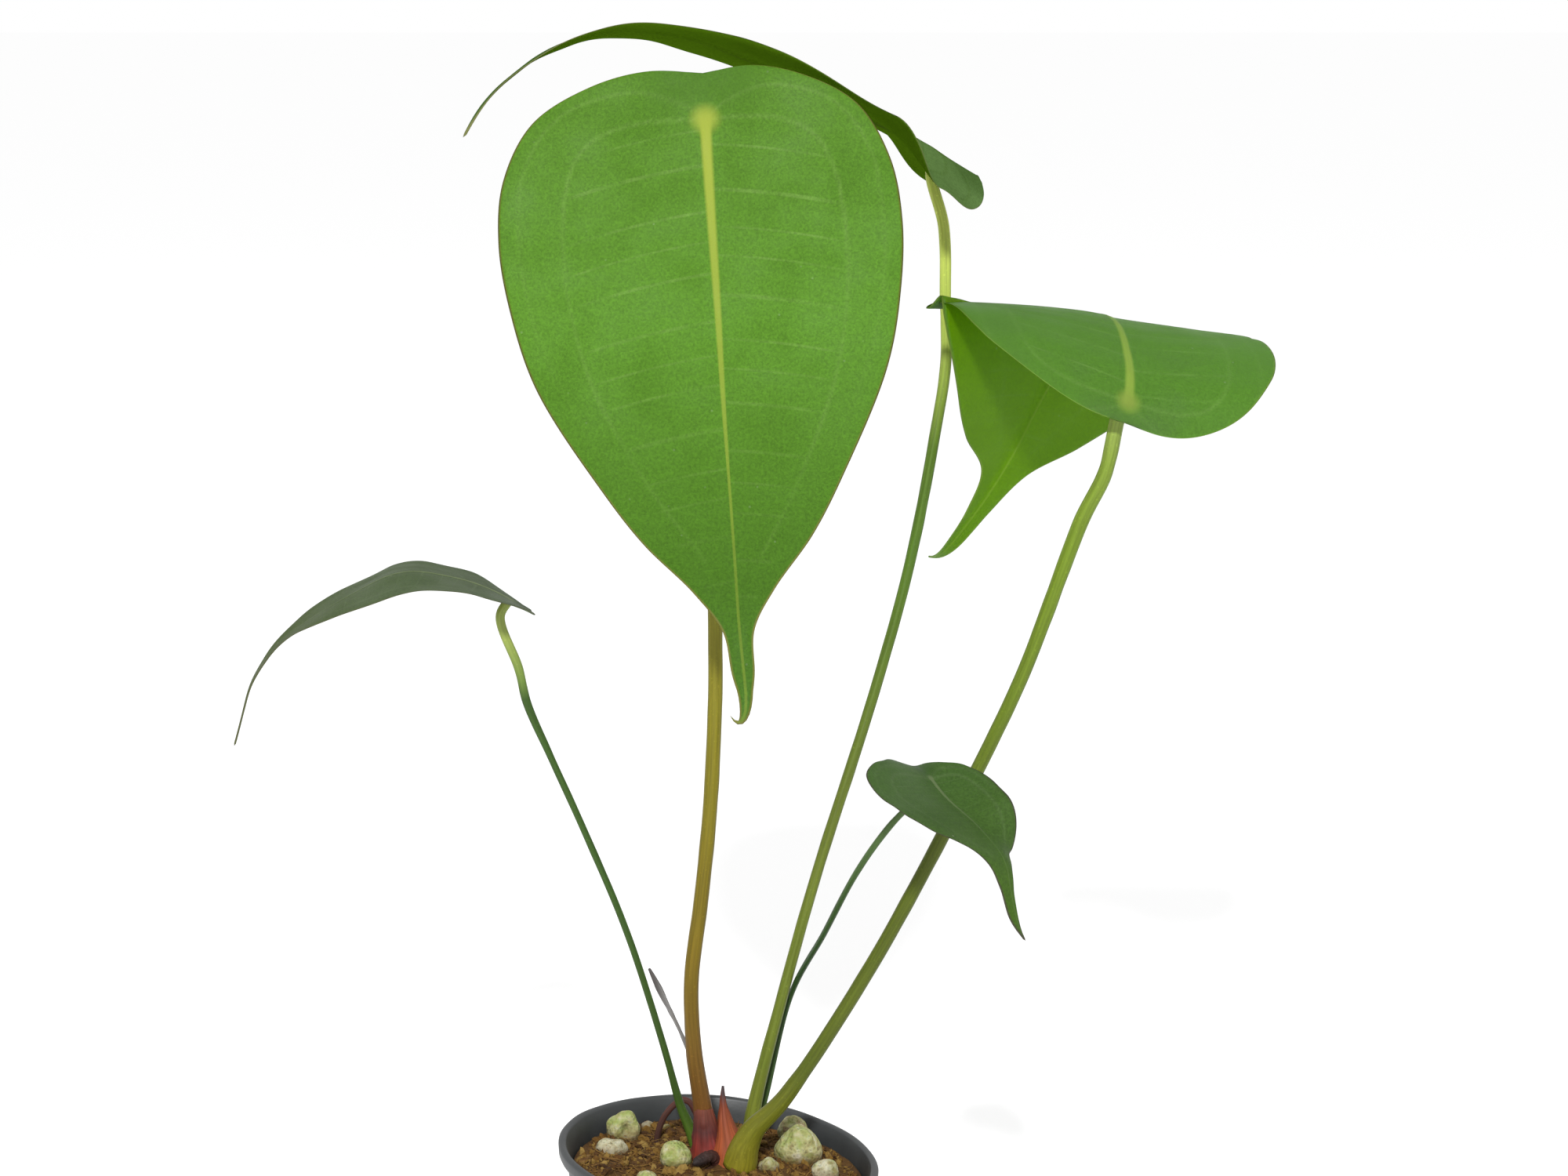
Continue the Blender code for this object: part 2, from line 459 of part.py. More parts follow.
def chip(name, centre, size, heading, group, material, grow=0.0):
    """Flat chip with softened edges."""
    shape = bmesh.new()
    bmesh.ops.create_cube(shape, size=1.0)
    for vertex in shape.verts:
        x, y, z = (vertex.co[i] * (size[i] + 2 * grow) for i in range(3))
        taper = 1 - 0.25 * (x / size[0] + 0.5)
        turn = math.radians(heading)
        vertex.co = ((centre[0] + x * math.cos(turn) - y * taper * math.sin(turn)) * MM,
                     (centre[1] + x * math.sin(turn) + y * taper * math.cos(turn)) * MM, (centre[2] + z) * MM)
    bmesh.ops.bevel(shape, geom=shape.edges[:], offset=0.4 * MM, segments=1, affect="EDGES")
    mesh = bpy.data.meshes.new(name)
    shape.to_mesh(mesh)
    shape.free()
    made = add_object(name, mesh, material, group, weld=False)
    made.data.shade_flat()
    return made


pumice = finish("weathered pumice", (0.42, 0.42, 0.22), 0.9)
bark = finish("bark chip", (0.16, 0.09, 0.04), 0.85)
for name, (place, size, sunk) in LUMPS.items():
    centre = resting(place, size[2], sunk)
    lump(name, centre, size, PLANT, pumice)
    lump(name + "_room", centre, size, POCKETS, None, GAP)
for name, (place, size, heading, sunk) in CHIPS.items():
    centre = resting(place, size[2], sunk)
    chip(name, centre, size, heading, PLANT, bark)
    chip(name + "_room", centre, size, heading, POCKETS, None, GAP)

# ---------------------------------------------------------------- stalks, sheaths and roots in the air
def standing(points, radius):
    """The path raised at its foot, so that the leaning end clears the crown."""
    run = np.subtract(points[1], points[0])
    lean = math.hypot(run[0], run[1]) / np.linalg.norm(run) * radius
    return [(*points[0][:2], points[0][2] + GAP + lean), *points[1:]]


def over_crown(points):
    return [(x, y, CROWN_TOP + height) for x, y, height in points]


for name, (points, radii, flatten) in SHEATHS.items():
    path = standing(over_crown(points), radii[0])
    tube(name, path, radii, finish(name.replace("_", " "), SHEATH_COLOURS[name], 0.6), PLANT, flatten=flatten)
    if path[-1][2] < MIX_TOP:
        tube(name + "_room", path, radii, None, POCKETS, grow=GAP)


# ---------------------------------------------------------------- potting mix
side = [(outer_radius(z) - POT_WALL - GAP, z) for z in (*reversed(WALL_LEVELS), POT_FLOOR + GAP)]
top_rings = [(r, MIX_TOP) for r in (0, 4, 8, 12, 16, 20, 24, 28, 32, 36, 40, 43)]
mix = turned("potting_mix",
             [*top_rings, (MIX_RADIUS - 0.8, MIX_TOP), *side, (12, POT_FLOOR + GAP),
              (0, POT_FLOOR + GAP)],
             finish("potting mix", (0.15, 0.09, 0.035), 0.95), mix_surface)
mix.data.shade_flat()
cut = mix.modifiers.new("pockets", "BOOLEAN")
cut.operation = "DIFFERENCE"
cut.solver = "EXACT"
cut.operand_type = "COLLECTION"
cut.collection = POCKETS


# ---------------------------------------------------------------- leaves
def half_outline(leaf, half):
    blade, drip = leaf["blade"], leaf["drip"]
    points = [(x * blade, y * half) for x, y in leaf["heart"]]
    points += [(blade, leaf["shoulder"] * half), (blade + 0.3 * drip, leaf["tip"][0] * half),
               (blade + 0.65 * drip, leaf["tip"][1] * half), (blade + drip, 0)]
    return smooth_path(points, BLADE_ROWS)


def flat_blade(leaf):
    """Grid over the flat blade, (rows, columns, 2): rows run margin to midrib to margin, fanning at notch and tip."""
    left, right = half_outline(leaf, leaf["half"][0]), half_outline(leaf, leaf["half"][1])
    mean = (left + right) / 2
    notch, tip = mean[0, 0], mean[-1, 0]
    ease = 0.04 * leaf["blade"]
    middle = ease * np.logaddexp(0, (mean[:, 0] - 0.2 * mean[:, 1] - notch) / ease)
    middle = np.maximum.accumulate(middle + 0.002 * leaf["blade"] * np.linspace(0, 1, BLADE_ROWS))
    middle = notch + (middle - middle[0]) * (tip - notch) / (middle[-1] - middle[0])
    share = np.linspace(0, 1, BLADE_COLUMNS + 1)
    halves = []
    for edge, sign in ((left, 1), (right, -1)):
        x = middle[:, None] * (1 - share) + edge[:, :1] * share
        halves.append(np.stack([x, sign * edge[:, 1:] * share], axis=-1))
    return np.concatenate([halves[0][:, ::-1], halves[1][:, 1:]], axis=1)


def shape_blade(leaf, flat):
    """Folds, curls and arches points of the flat blade, then sets the leaf in place."""
    x, y = flat[..., 0], flat[..., 1]
    length = leaf["blade"] + leaf["drip"]
    out = np.abs(y) / np.where(y >= 0, *leaf["half"])
    fold = np.where(y >= 0, eased(x / length, leaf["fold"][0]), eased(x / length, leaf["fold"][1]))
    curls = [eased(x / length, ((-0.1, start), (1, end))) for start, end in leaf["curl"]]
    curl = np.where(y >= 0, *curls)
    steps = (np.arange(12) + 0.5) / 12
    slope = np.radians(fold[..., None] + curl[..., None] * out[..., None] * steps)
    across = y * np.cos(slope).mean(-1) + eased(x / length, leaf["sway"])
    soft = 3.0  # the midrib is rounded, not creased
    lift = (np.sqrt(y * y + soft * soft) - soft) * np.sin(slope).mean(-1)
    turn = math.radians(leaf["oblique"])
    along = x * math.cos(turn) + across * math.sin(turn)
    beside = -x * math.sin(turn) + across * math.cos(turn)
    run = np.linspace(-length, 1.6 * length, 600)
    angle = np.radians(eased(run / length, leaf["arch"]))
    step = run[1] - run[0]
    forward = np.concatenate([[0], np.cumsum((np.cos(angle[1:]) + np.cos(angle[:-1])) / 2 * step)])
    upward = np.concatenate([[0], np.cumsum((np.sin(angle[1:]) + np.sin(angle[:-1])) / 2 * step)])
    forward -= np.interp(0, run, forward)
    upward -= np.interp(0, run, upward)
    here = np.interp(along, run, angle)
    ahead = np.interp(along, run, forward) - lift * np.sin(here)
    height = np.interp(along, run, upward) + lift * np.cos(here)
    local = np.stack([ahead * math.cos(turn) - beside * math.sin(turn),
                      ahead * math.sin(turn) + beside * math.cos(turn), height], axis=-1)
    heading, rise, roll = (math.radians(angle) for angle in leaf["aim"])
    nose = np.array([math.cos(rise) * math.cos(heading), math.cos(rise) * math.sin(heading), math.sin(rise)])
    level = np.array([-math.sin(heading), math.cos(heading), 0])
    side_way = level * math.cos(roll) + np.cross(nose, level) * math.sin(roll)
    return local @ np.stack([nose, side_way, np.cross(nose, side_way)]) + np.array(leaf["at"])


def blade(name, leaf, material):
    grid = shape_blade(leaf, flat_blade(leaf))
    rows, columns = grid.shape[:2]
    points = [grid[0, 0], *grid[1:-1].reshape(-1, 3), grid[-1, 0]]
    last = len(points) - 1

    def index(row, column):
        return 1 + (row - 1) * columns + column

    faces = [(0, index(1, c + 1), index(1, c)) for c in range(columns - 1)]
    faces += [(index(r, c), index(r, c + 1), index(r + 1, c + 1), index(r + 1, c))
              for r in range(1, rows - 2) for c in range(columns - 1)]
    faces += [(last, index(rows - 2, c), index(rows - 2, c + 1)) for c in range(columns - 1)]
    made = add_mesh(name, points, faces, material, PLANT)
    thicken = made.modifiers.new("thickness", "SOLIDIFY")
    thicken.thickness = BLADE_THICKNESS * MM
    thicken.offset = 0.0
    return made


def seat(leaf, radius):
    """The direction away from the blade's underside at the stalk, and how far under it the stalk must stop."""
    reach = np.array([(0, 0), (1, 0), (0, 1), (-1, 0), (0, -1), (0.7, 0.7), (-0.7, 0.7), (0.7, -0.7), (-0.7, -0.7)])
    spots = shape_blade(leaf, reach * (radius + 0.2))
    normal = np.cross(spots[1] - spots[3], spots[2] - spots[4])
    normal = normal / np.linalg.norm(normal)
    sag = -min(0.0, float(((spots - spots[0]) @ normal).min()))
    return spots[0], -normal, sag + BLADE_THICKNESS / 2 + SEAT_GAP


for name, leaf in LEAVES.items():
    blade(f"blade_{name}", leaf, finish(f"leaf {name}", BLADE_COLOURS[name], 0.4))
    points, (base, middle, top) = STALKS[name]
    joint, away, drop = seat(leaf, top)
    ending = [tuple(joint + away * (drop + 9)), tuple(joint + away * (drop + 4)), tuple(joint + away * drop)]
    path = [*standing(over_crown(STALK_FEET[name]), base), *points, *ending]
    tube(f"petiole_{name}", path, (base, middle * 1.05, middle, middle, middle, middle, top * 1.02, top),
         finish(f"stalk {name}", STALK_COLOURS[name], 0.5), PLANT, sides=2, rings=36)
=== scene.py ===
# %% [markdown]
# # Potted anthurium
#
# A young foliage anthurium: five leathery heart-shaped leaves on slender stalks, growing from a short crown in a
# soft black nursery pot of bark and pumice mix. The CAD model holds every size and place, so this script only
# gives the pieces their fine shape and their finishes. Each piece is worked out as a surface with numpy and takes
# the place of its plain solid.

# %% Load the frame
import functools
import math

import bpy
import numpy as np
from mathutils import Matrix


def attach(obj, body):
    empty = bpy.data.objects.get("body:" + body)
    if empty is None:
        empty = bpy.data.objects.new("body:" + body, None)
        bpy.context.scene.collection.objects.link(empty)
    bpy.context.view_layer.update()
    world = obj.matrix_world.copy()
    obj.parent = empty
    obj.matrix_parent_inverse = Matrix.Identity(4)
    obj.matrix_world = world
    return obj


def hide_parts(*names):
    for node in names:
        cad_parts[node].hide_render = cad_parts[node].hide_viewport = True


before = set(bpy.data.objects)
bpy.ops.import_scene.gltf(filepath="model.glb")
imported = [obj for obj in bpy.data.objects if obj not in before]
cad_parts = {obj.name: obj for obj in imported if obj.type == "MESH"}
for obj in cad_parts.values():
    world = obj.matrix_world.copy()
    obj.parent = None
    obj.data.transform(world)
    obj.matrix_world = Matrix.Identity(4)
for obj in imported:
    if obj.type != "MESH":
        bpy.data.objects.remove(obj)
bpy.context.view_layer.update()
MM = 0.001

# %% [markdown]
# ## Camera
#
# A long lens about a metre away, looking slightly down, gives a plant its natural proportions. The camera is set
# first, because every later choice of detail depends on how large a millimetre looks from there.

# %% Camera
CAMERA_PLACE = (0.02075, -1.0, 0.4433)
CAMERA_DOWN = 10.0  # degrees below level
LENS = 75.53  # mm on a 36 mm wide sensor

lens = bpy.data.cameras.new("camera")
lens.lens = LENS
lens.sensor_width = 36.0
lens.clip_end = 200.0
camera = bpy.data.objects.new("camera", lens)
camera.location = CAMERA_PLACE
camera.rotation_euler = (math.radians(90 - CAMERA_DOWN), 0, 0)
bpy.context.scene.collection.objects.link(camera)
bpy.context.scene.camera = camera

# %% [markdown]
# ## Helpers for shape
#
# Nearly everything on a plant is a skin carried along a line: a stalk, a root, a blade seen as a very flat tube,
# even a pebble. So one function turns rings of points into closed bodies, many at once, with a fan at each end.
# The rings come as one numpy array, which keeps a thousand crumbs as quick as one stone.

# %% Rings to closed bodies
def skin(name, rings, material, values=None, ends=None, smooth=True):
    """Closed bodies from rings[body, ring, point, xyz] in mm: each ring joins the next one, the last point of a ring
    joins its first, and a fan closes both ends on the ring's mean point, or on ends[body, end, xyz] if given.
    values maps an attribute's name to its numbers on the rings; a fan's middle takes its ring's mean."""
    rings = np.asarray(rings, float)
    rings = rings.reshape(-1, *rings.shape[-3:])
    bodies, rows, columns = rings.shape[:3]
    middles = rings[:, [0, -1]].mean(axis=2) if ends is None else np.asarray(ends, float)
    points = np.concatenate([rings.reshape(-1, 3), middles.reshape(-1, 3)])
    number = np.arange(bodies * rows * columns).reshape(bodies, rows, columns)
    after = np.roll(number, -1, axis=2)
    quads = np.stack([number[:, :-1], after[:, :-1], after[:, 1:], number[:, 1:]], axis=-1).reshape(-1, 4)
    first, last = number.size + np.arange(bodies * 2).reshape(bodies, 2, 1).transpose(1, 0, 2)
    fans = np.concatenate([together(first, after[:, 0], number[:, 0]).reshape(-1, 3),
                           together(last, number[:, -1], after[:, -1]).reshape(-1, 3)])
    triangles = np.concatenate([quads[:, [0, 1, 2]], quads[:, [0, 2, 3]], fans])
    if np.linalg.det(points[triangles] - points.mean(axis=0)).sum() < 0:
        quads, fans = quads[:, ::-1], fans[:, ::-1]
    mesh = bpy.data.meshes.new(name)
    mesh.vertices.add(len(points))
    mesh.vertices.foreach_set("co", (points * MM).ravel())
    mesh.loops.add(quads.size + fans.size)
    mesh.loops.foreach_set("vertex_index", np.concatenate([quads.ravel(), fans.ravel()]))
    mesh.polygons.add(len(quads) + len(fans))
    starts = np.concatenate([np.arange(len(quads)) * 4, quads.size + np.arange(len(fans)) * 3])
    mesh.polygons.foreach_set("loop_start", starts)
    mesh.update(calc_edges=True)
    mesh.polygons.foreach_set("use_smooth", np.full(len(mesh.polygons), smooth))
    for label, numbers in (values or {}).items():
        numbers = np.asarray(numbers, float).reshape(bodies, rows, columns, -1)
        parts = numbers.shape[-1]
        kind, key = ("FLOAT", "value") if parts == 1 else ("FLOAT_VECTOR", "vector")
        means = numbers[:, [0, -1]].mean(axis=2)
        every = np.concatenate([numbers.reshape(-1, parts), means.reshape(-1, parts)])
        mesh.attributes.new(label, kind, "POINT").data.foreach_set(key, every.ravel())
    mesh.materials.append(material)
    made = bpy.data.objects.new(name, mesh)
    bpy.context.scene.collection.objects.link(made)
    return made


def show(piece, nodes):
    """Puts the piece in the place of its CAD nodes, on the plant's one body."""
    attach(piece, "root")
    if nodes:
        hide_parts(*nodes)
    print(piece.name, len(piece.data.polygons), "faces,", [round(side / MM, 1) for side in piece.dimensions], "mm")


# %% [markdown]
# ## Grids, lines and noise
#
# Most surfaces are grids worked out from a row of angles and a column of heights. A stalk's path is a smooth curve
# through a few given points, and slow changes along a leaf are eased between a few values. Stones, bark and
# soil need roughness that looks random but is the same each run, so the noise is a fixed table of random numbers
# blended in space.

# %% Grids, curves, easing and noise
SPAN_POINTS = 60  # of a smooth path, between two of its given points
NOISE_SIDE = 32


def around(sides):
    """Angles evenly spaced round a circle."""
    return np.linspace(0, 2 * math.pi, sides, endpoint=False)


def together(*parts):
    """Points whose coordinates are the parts, each stretched to their common shape."""
    return np.stack(np.broadcast_arrays(*parts), axis=-1)


def turned(x, y, angle):
    """(x cos - y sin, x sin + y cos): the plan turned by the angle."""
    return x * math.cos(angle) - y * math.sin(angle), x * math.sin(angle) + y * math.cos(angle)


def spun(radius, height, sides):
    """Rings round the upright axis: radius times cos and sin of the angle, at the height."""
    turn = around(sides)
    return together(radius * np.cos(turn), radius * np.sin(turn), height)


def ball(rows, sides):
    """Rings of a ball of radius 1 between its poles: the radius of a ring is the sine of its angle from the pole."""
    lie = np.linspace(0, math.pi, rows + 2)[1:-1, None]
    return spun(np.sin(lie), np.cos(lie), sides)


def smooth_path(points, count):
    """Centripetal Catmull-Rom curve through the points, as count points evenly spaced along it. Between two points,
    three levels of straight blends over time, each a pair of neighbours of the level before."""
    knots = np.asarray(points, float)
    knots = np.vstack([2 * knots[0] - knots[1], knots, 2 * knots[-1] - knots[-2]])
    times = np.concatenate([[0], np.cumsum(np.sqrt(np.linalg.norm(np.diff(knots, axis=0), axis=1)))])
    runs = []
    for i in range(len(knots) - 3):
        spots, span = knots[i:i + 4], times[i:i + 4]
        t = np.linspace(span[1], span[2], SPAN_POINTS, endpoint=False)[:, None]
        for starts, ends in ((span[:3], span[1:]), (span[:2], span[2:]), (span[1:2], span[2:3])):
            spots = [((end - t) * before + (t - start) * after) / (end - start)
                     for start, end, before, after in zip(starts, ends, spots, spots[1:])]
        runs += spots
    curve = np.vstack([*runs, knots[-2]])
    length = np.concatenate([[0], np.cumsum(np.linalg.norm(np.diff(curve, axis=0), axis=1))])
    steps = np.linspace(0, length[-1], count)
    return np.stack([np.interp(steps, length, line) for line in curve.T], axis=1)


def eased(x, pairs):
    """Value at x from (position, value) pairs, easing in and out at each."""
    places, values = np.array(pairs, float).T
    i = np.clip(np.searchsorted(places, x, side="right") - 1, 0, len(places) - 2)
    u = np.clip((x - places[i]) / (places[i + 1] - places[i]), 0, 1)
    u = u * u * (3 - 2 * u)
    return values[i] * (1 - u) + values[i + 1] * u


def noise(points, size, seed=0):
    """Smooth noise from about -1 to 1 over cells of this size in mm: random values at a lattice's corners, blended
    with eased weights."""
    table = np.random.default_rng(seed).uniform(-1, 1, (NOISE_SIDE,) * 3)
    place = np.asarray(points, float) / size
    low = np.floor(place).astype(int)
    part = place - low
    part = part * part * (3 - 2 * part)
    total = np.zeros(place.shape[:-1])
    for corner in np.ndindex(2, 2, 2):
        weight = np.where(corner, part, 1 - part).prod(axis=-1)
        spot = (low + corner) % NOISE_SIDE
        total += weight * table[spot[..., 0], spot[..., 1], spot[..., 2]]
    return total


def tube_rings(centres, radii, reference=(0, 1, 0)):
    """Rings round a path: at each centre, radius times cos and sin of the angle along two directions square to the
    path, the first of them square to the reference too. centres[..., ring, xyz], radii[..., ring, point]."""
    along = np.gradient(centres, axis=-2)
    along /= np.linalg.norm(along, axis=-1, keepdims=True)
    first = np.cross(along, np.asarray(reference, float))
    first /= np.linalg.norm(first, axis=-1, keepdims=True)
    second = np.cross(first, along)
    turn = around(radii.shape[-1])[:, None]
    ways = first[..., None, :] * np.cos(turn) + second[..., None, :] * np.sin(turn)
    return centres[..., None, :] + ways * radii[..., None]


# %% [markdown]
# ## Helpers for finish
#
# Colours are written as the sRGB codes a painter would pick and turned into the linear light values that the
# renderer works with. The studio light is brighter than one, so the plant's colours are taken down by one share,
# as a light meter would. Each material is a short chain of nodes, added by one small helper.

# %% Colours and nodes
STUDIO_SHARE = 0.53  # reflectance of a surface that looks like its code under this light
COLOURS = {"out": 2, "data_type": "RGBA"}  # a Mix node that blends input 6 into input 7 by input 0
SOFTLY = {"interpolation_type": "SMOOTHSTEP"}
TIMES = {"operation": "MULTIPLY"}
PLUS = {"operation": "ADD"}


def linear(code, share=STUDIO_SHARE):
    """Linear colour from an sRGB code: under 0.04045 divided by 12.92, above it ((c + 0.055) / 1.055) to the 2.4."""
    parts = np.array([int(code[i:i + 2], 16) / 255 for i in (1, 3, 5)])
    light = np.where(parts <= 0.04045, parts / 12.92, ((parts + 0.055) / 1.055) ** 2.4)
    return (*(light * share), 1.0)


def feed(made, inputs):
    """Gives the node's sockets their values, or the sockets that feed them, by name or in order."""
    for key, value in inputs.items() if isinstance(inputs, dict) else enumerate(inputs):
        if isinstance(value, bpy.types.NodeSocket):
            made.id_data.links.new(value, made.inputs[key])
        else:
            made.inputs[key].default_value = value


def node(tree, kind, inputs=(), out=0, stops=None, **settings):
    """Adds a node and returns one output of it. stops fills a colour ramp with (place, code) pairs, and the rest
    are the node's own settings."""
    made = tree.nodes.new("ShaderNode" + kind)
    for key, value in settings.items():
        setattr(made, key, value)
    feed(made, inputs)
    if stops:
        ramp = made.color_ramp.elements
        ramp.remove(ramp[1])
        ramp[0].position, ramp[0].color = stops[0][0], linear(stops[0][1])
        for place, code in stops[1:]:
            ramp.new(place).color = linear(code)
    return made.outputs[out]


def new_finish(name):
    """An empty material: (material, its shader, the function that adds a node to it)."""
    material = bpy.data.materials.new(name)
    material.use_nodes = True
    return material, material.node_tree.nodes["Principled BSDF"], functools.partial(node, material.node_tree)


def cells(size):
    """Scale of a noise or Voronoi texture on Object coordinates whose cells are this many mm wide."""
    return 1 / (size * MM)


# %% [markdown]
# ## The blade's form
#
# A blade starts flat: half a heart's outline on each side of the midrib. It is then folded along the midrib,
# curled at the edges, and bent along its length by an arch, and last it is turned and set on its stalk. These
# are the same few numbers that the CAD solids use, so the fine skin lies exactly in the solid's place.

# %% Leaf sizes, mm and degrees
HEART = ((-0.10, 0), (-0.11, 0.27), (-0.08, 0.54), (-0.01, 0.81), (0.11, 0.96), (0.24, 1.0), (0.38, 0.97),
         (0.55, 0.87), (0.77, 0.60), (0.89, 0.42))
DEEP_HEART = ((-0.20, 0), (-0.19, 0.29), (-0.10, 0.56), (-0.03, 0.81), (0.10, 0.98), (0.24, 1.0), (0.38, 0.97),
              (0.57, 0.90), (0.79, 0.62), (0.87, 0.40))
BLUNT_HEART = ((-0.06, 0), (-0.06, 0.27), (-0.03, 0.51), (0.04, 0.76), (0.14, 0.94), (0.25, 1.03), (0.38, 1.04),
               (0.60, 1.08), (0.81, 0.73), (0.90, 0.51))

LEAVES = {
    "front": {
        "blade": 140.0, "drip": 38.5, "half": (56.0, 63.0), "heart": HEART, "shoulder": 0.20, "tip": (0.08, 0.055),
        "at": (-2.5, -20.0, 411.0), "aim": (-74.0, -78.0, 17.0), "oblique": 0.0,
        "arch": ((-0.2, 14), (0, 6), (0.3, 0), (0.7, -4), (0.9, 2), (1, 10)),
        "fold": (((-0.1, 3), (1, 6)), ((-0.1, 3), (1, 6))), "curl": ((-4, -4), (-4, -4)),
        "sway": ((0, 0), (0.4, 0.65), (0.8, 1.35), (1, 2.5)),
    },
    "back": {
        "blade": 138.5, "drip": 35.0, "half": (52.0, 52.0), "heart": HEART, "shoulder": 0.20, "tip": (0.10, 0.06),
        "at": (70.0, 45.0, 398.0), "aim": (198.0, 5.0, 5.0), "oblique": 0.0,
        "arch": ((-0.2, 21), (0, 26), (0.15, 17), (0.3, 23), (0.45, 15), (0.6, -0.5), (0.72, -22), (0.85, -42),
                 (1, -65)),
        "fold": (((-0.1, -38), (0.05, -29), (0.2, -11), (0.5, -5), (0.75, 1.5), (1, 4)),
                 ((-0.1, -15), (0.05, 3), (0.25, 3), (0.5, 1), (1, -13))),
        "curl": ((9, 0), (16, -4)), "sway": ((0, 0), (1, 0)),
    },
    "right": {
        "blade": 124.0, "drip": 53.5, "half": (50.0, 47.0), "heart": BLUNT_HEART, "shoulder": 0.20,
        "tip": (0.10, 0.06),
        "at": (122.5, -32.0, 328.5), "aim": (80.0, 45.0, 27.0), "oblique": -1.0,
        "arch": ((-0.15, 7), (0, 5), (0.11, -19), (0.34, -53), (0.42, -133), (0.7, -116), (0.85, -102), (1, -55)),
        "fold": (((-0.1, 9.5), (0.08, -4), (0.3, -11.5), (0.6, -36), (1, -50)),
                 ((-0.1, -9), (0.08, 10), (0.3, 9.5), (0.6, 27), (1, 8))),
        "curl": ((-9, 0), (3.5, -3)), "sway": ((0, 0), (0.3, 1.7), (0.6, 6.5), (1, 11.2)),
    },
    "left": {
        "blade": 75.5, "drip": 39.5, "half": (28.0, 30.5), "heart": HEART, "shoulder": 0.24, "tip": (0.14, 0.09),
        "at": (-64.5, 5.0, 262.5), "aim": (187.5, 0.0, -0.5), "oblique": 0.0,
        "arch": ((-0.2, 47), (0, 29), (0.2, 13), (0.4, -27), (0.6, -33), (0.75, -55), (0.88, -75), (1, -74)),
        "fold": (((-0.1, 7), (0.1, 0), (0.35, -6), (0.7, 3), (1, 5)),
                 ((-0.1, -10), (0.1, -5), (0.35, -6), (0.7, 8.5), (1, -5.5))),
        "curl": ((6.5, -6.5), (4.5, 1.5)), "sway": ((0, 0), (0.5, 2.3), (1, -1.7)),
    },
    "small": {
        "blade": 40.0, "drip": 23.0, "half": (17.0, 34.0), "heart": DEEP_HEART, "shoulder": 0.22,
        "tip": (0.12, 0.08),
        "at": (64.5, -42.0, 216.5), "aim": (-50.0, -14.5, -9.5), "oblique": -2.0,
        "arch": ((-0.15, 21), (0, -20), (0.25, -6), (0.5, -17), (0.7, -55), (0.85, -50), (1, -25)),
        "fold": (((-0.1, 21.5), (0.3, 34), (0.6, -30), (1, -12)), ((-0.1, 14), (0.3, 9), (0.6, 11), (1, -7))),
        "curl": ((0, 4), (-5.5, -4.5)), "sway": ((0, 0), (0.4, -0.3), (0.7, 0.4), (1, 0.3)),
    },
}


# %% The flat blade and its bends
SLOPE_STEPS = 12  # out across a half
ARCH_STEPS = 2400  # along the arch, far past both ends
MIDRIB_SOFT = 3.0  # mm over which the fold is rounded, not creased


def half_outline(leaf, half, rows):
    """Edge of one half, notch to tip, as rows points (along the midrib, out from it)."""
    blade, drip = leaf["blade"], leaf["drip"]
    points = [(x * blade, y * half) for x, y in leaf["heart"]]
    points += [(blade, leaf["shoulder"] * half), (blade + 0.3 * drip, leaf["tip"][0] * half),
               (blade + 0.65 * drip, leaf["tip"][1] * half), (blade + drip, 0)]
    return smooth_path(points, rows)


def flat_blade(leaf, rows, shares):
    """Grid over the flat blade. A row runs from the left edge over the midrib to the right edge, and fans out at the
    notch and the tip. Returns (along, across) of each point, its share out to the edge, and its mm from the edge."""
    left, right = (half_outline(leaf, half, rows) for half in leaf["half"])
    mean = (left + right) / 2
    notch, tip = mean[0, 0], mean[-1, 0]
    ease = 0.04 * leaf["blade"]
    middle = ease * np.logaddexp(0, (mean[:, 0] - 0.2 * mean[:, 1] - notch) / ease)
    middle = np.maximum.accumulate(middle + 0.002 * leaf["blade"] * np.linspace(0, 1, rows))
    middle = notch + (middle - middle[0]) * (tip - notch) / (middle[-1] - middle[0])
    halves = []
    for edge, sign in ((left, 1), (right, -1)):
        x = middle[:, None] * (1 - shares) + edge[:, :1] * shares
        gap = np.hypot(edge[:, 0] - middle, edge[:, 1])[:, None] * (1 - shares)
        halves.append(together(x, sign * edge[:, 1:] * shares, shares, gap))
    grid = np.concatenate([halves[0][:, ::-1], halves[1][:, 1:]], axis=1)
    return grid[..., :2], grid[..., 2], grid[..., 3]


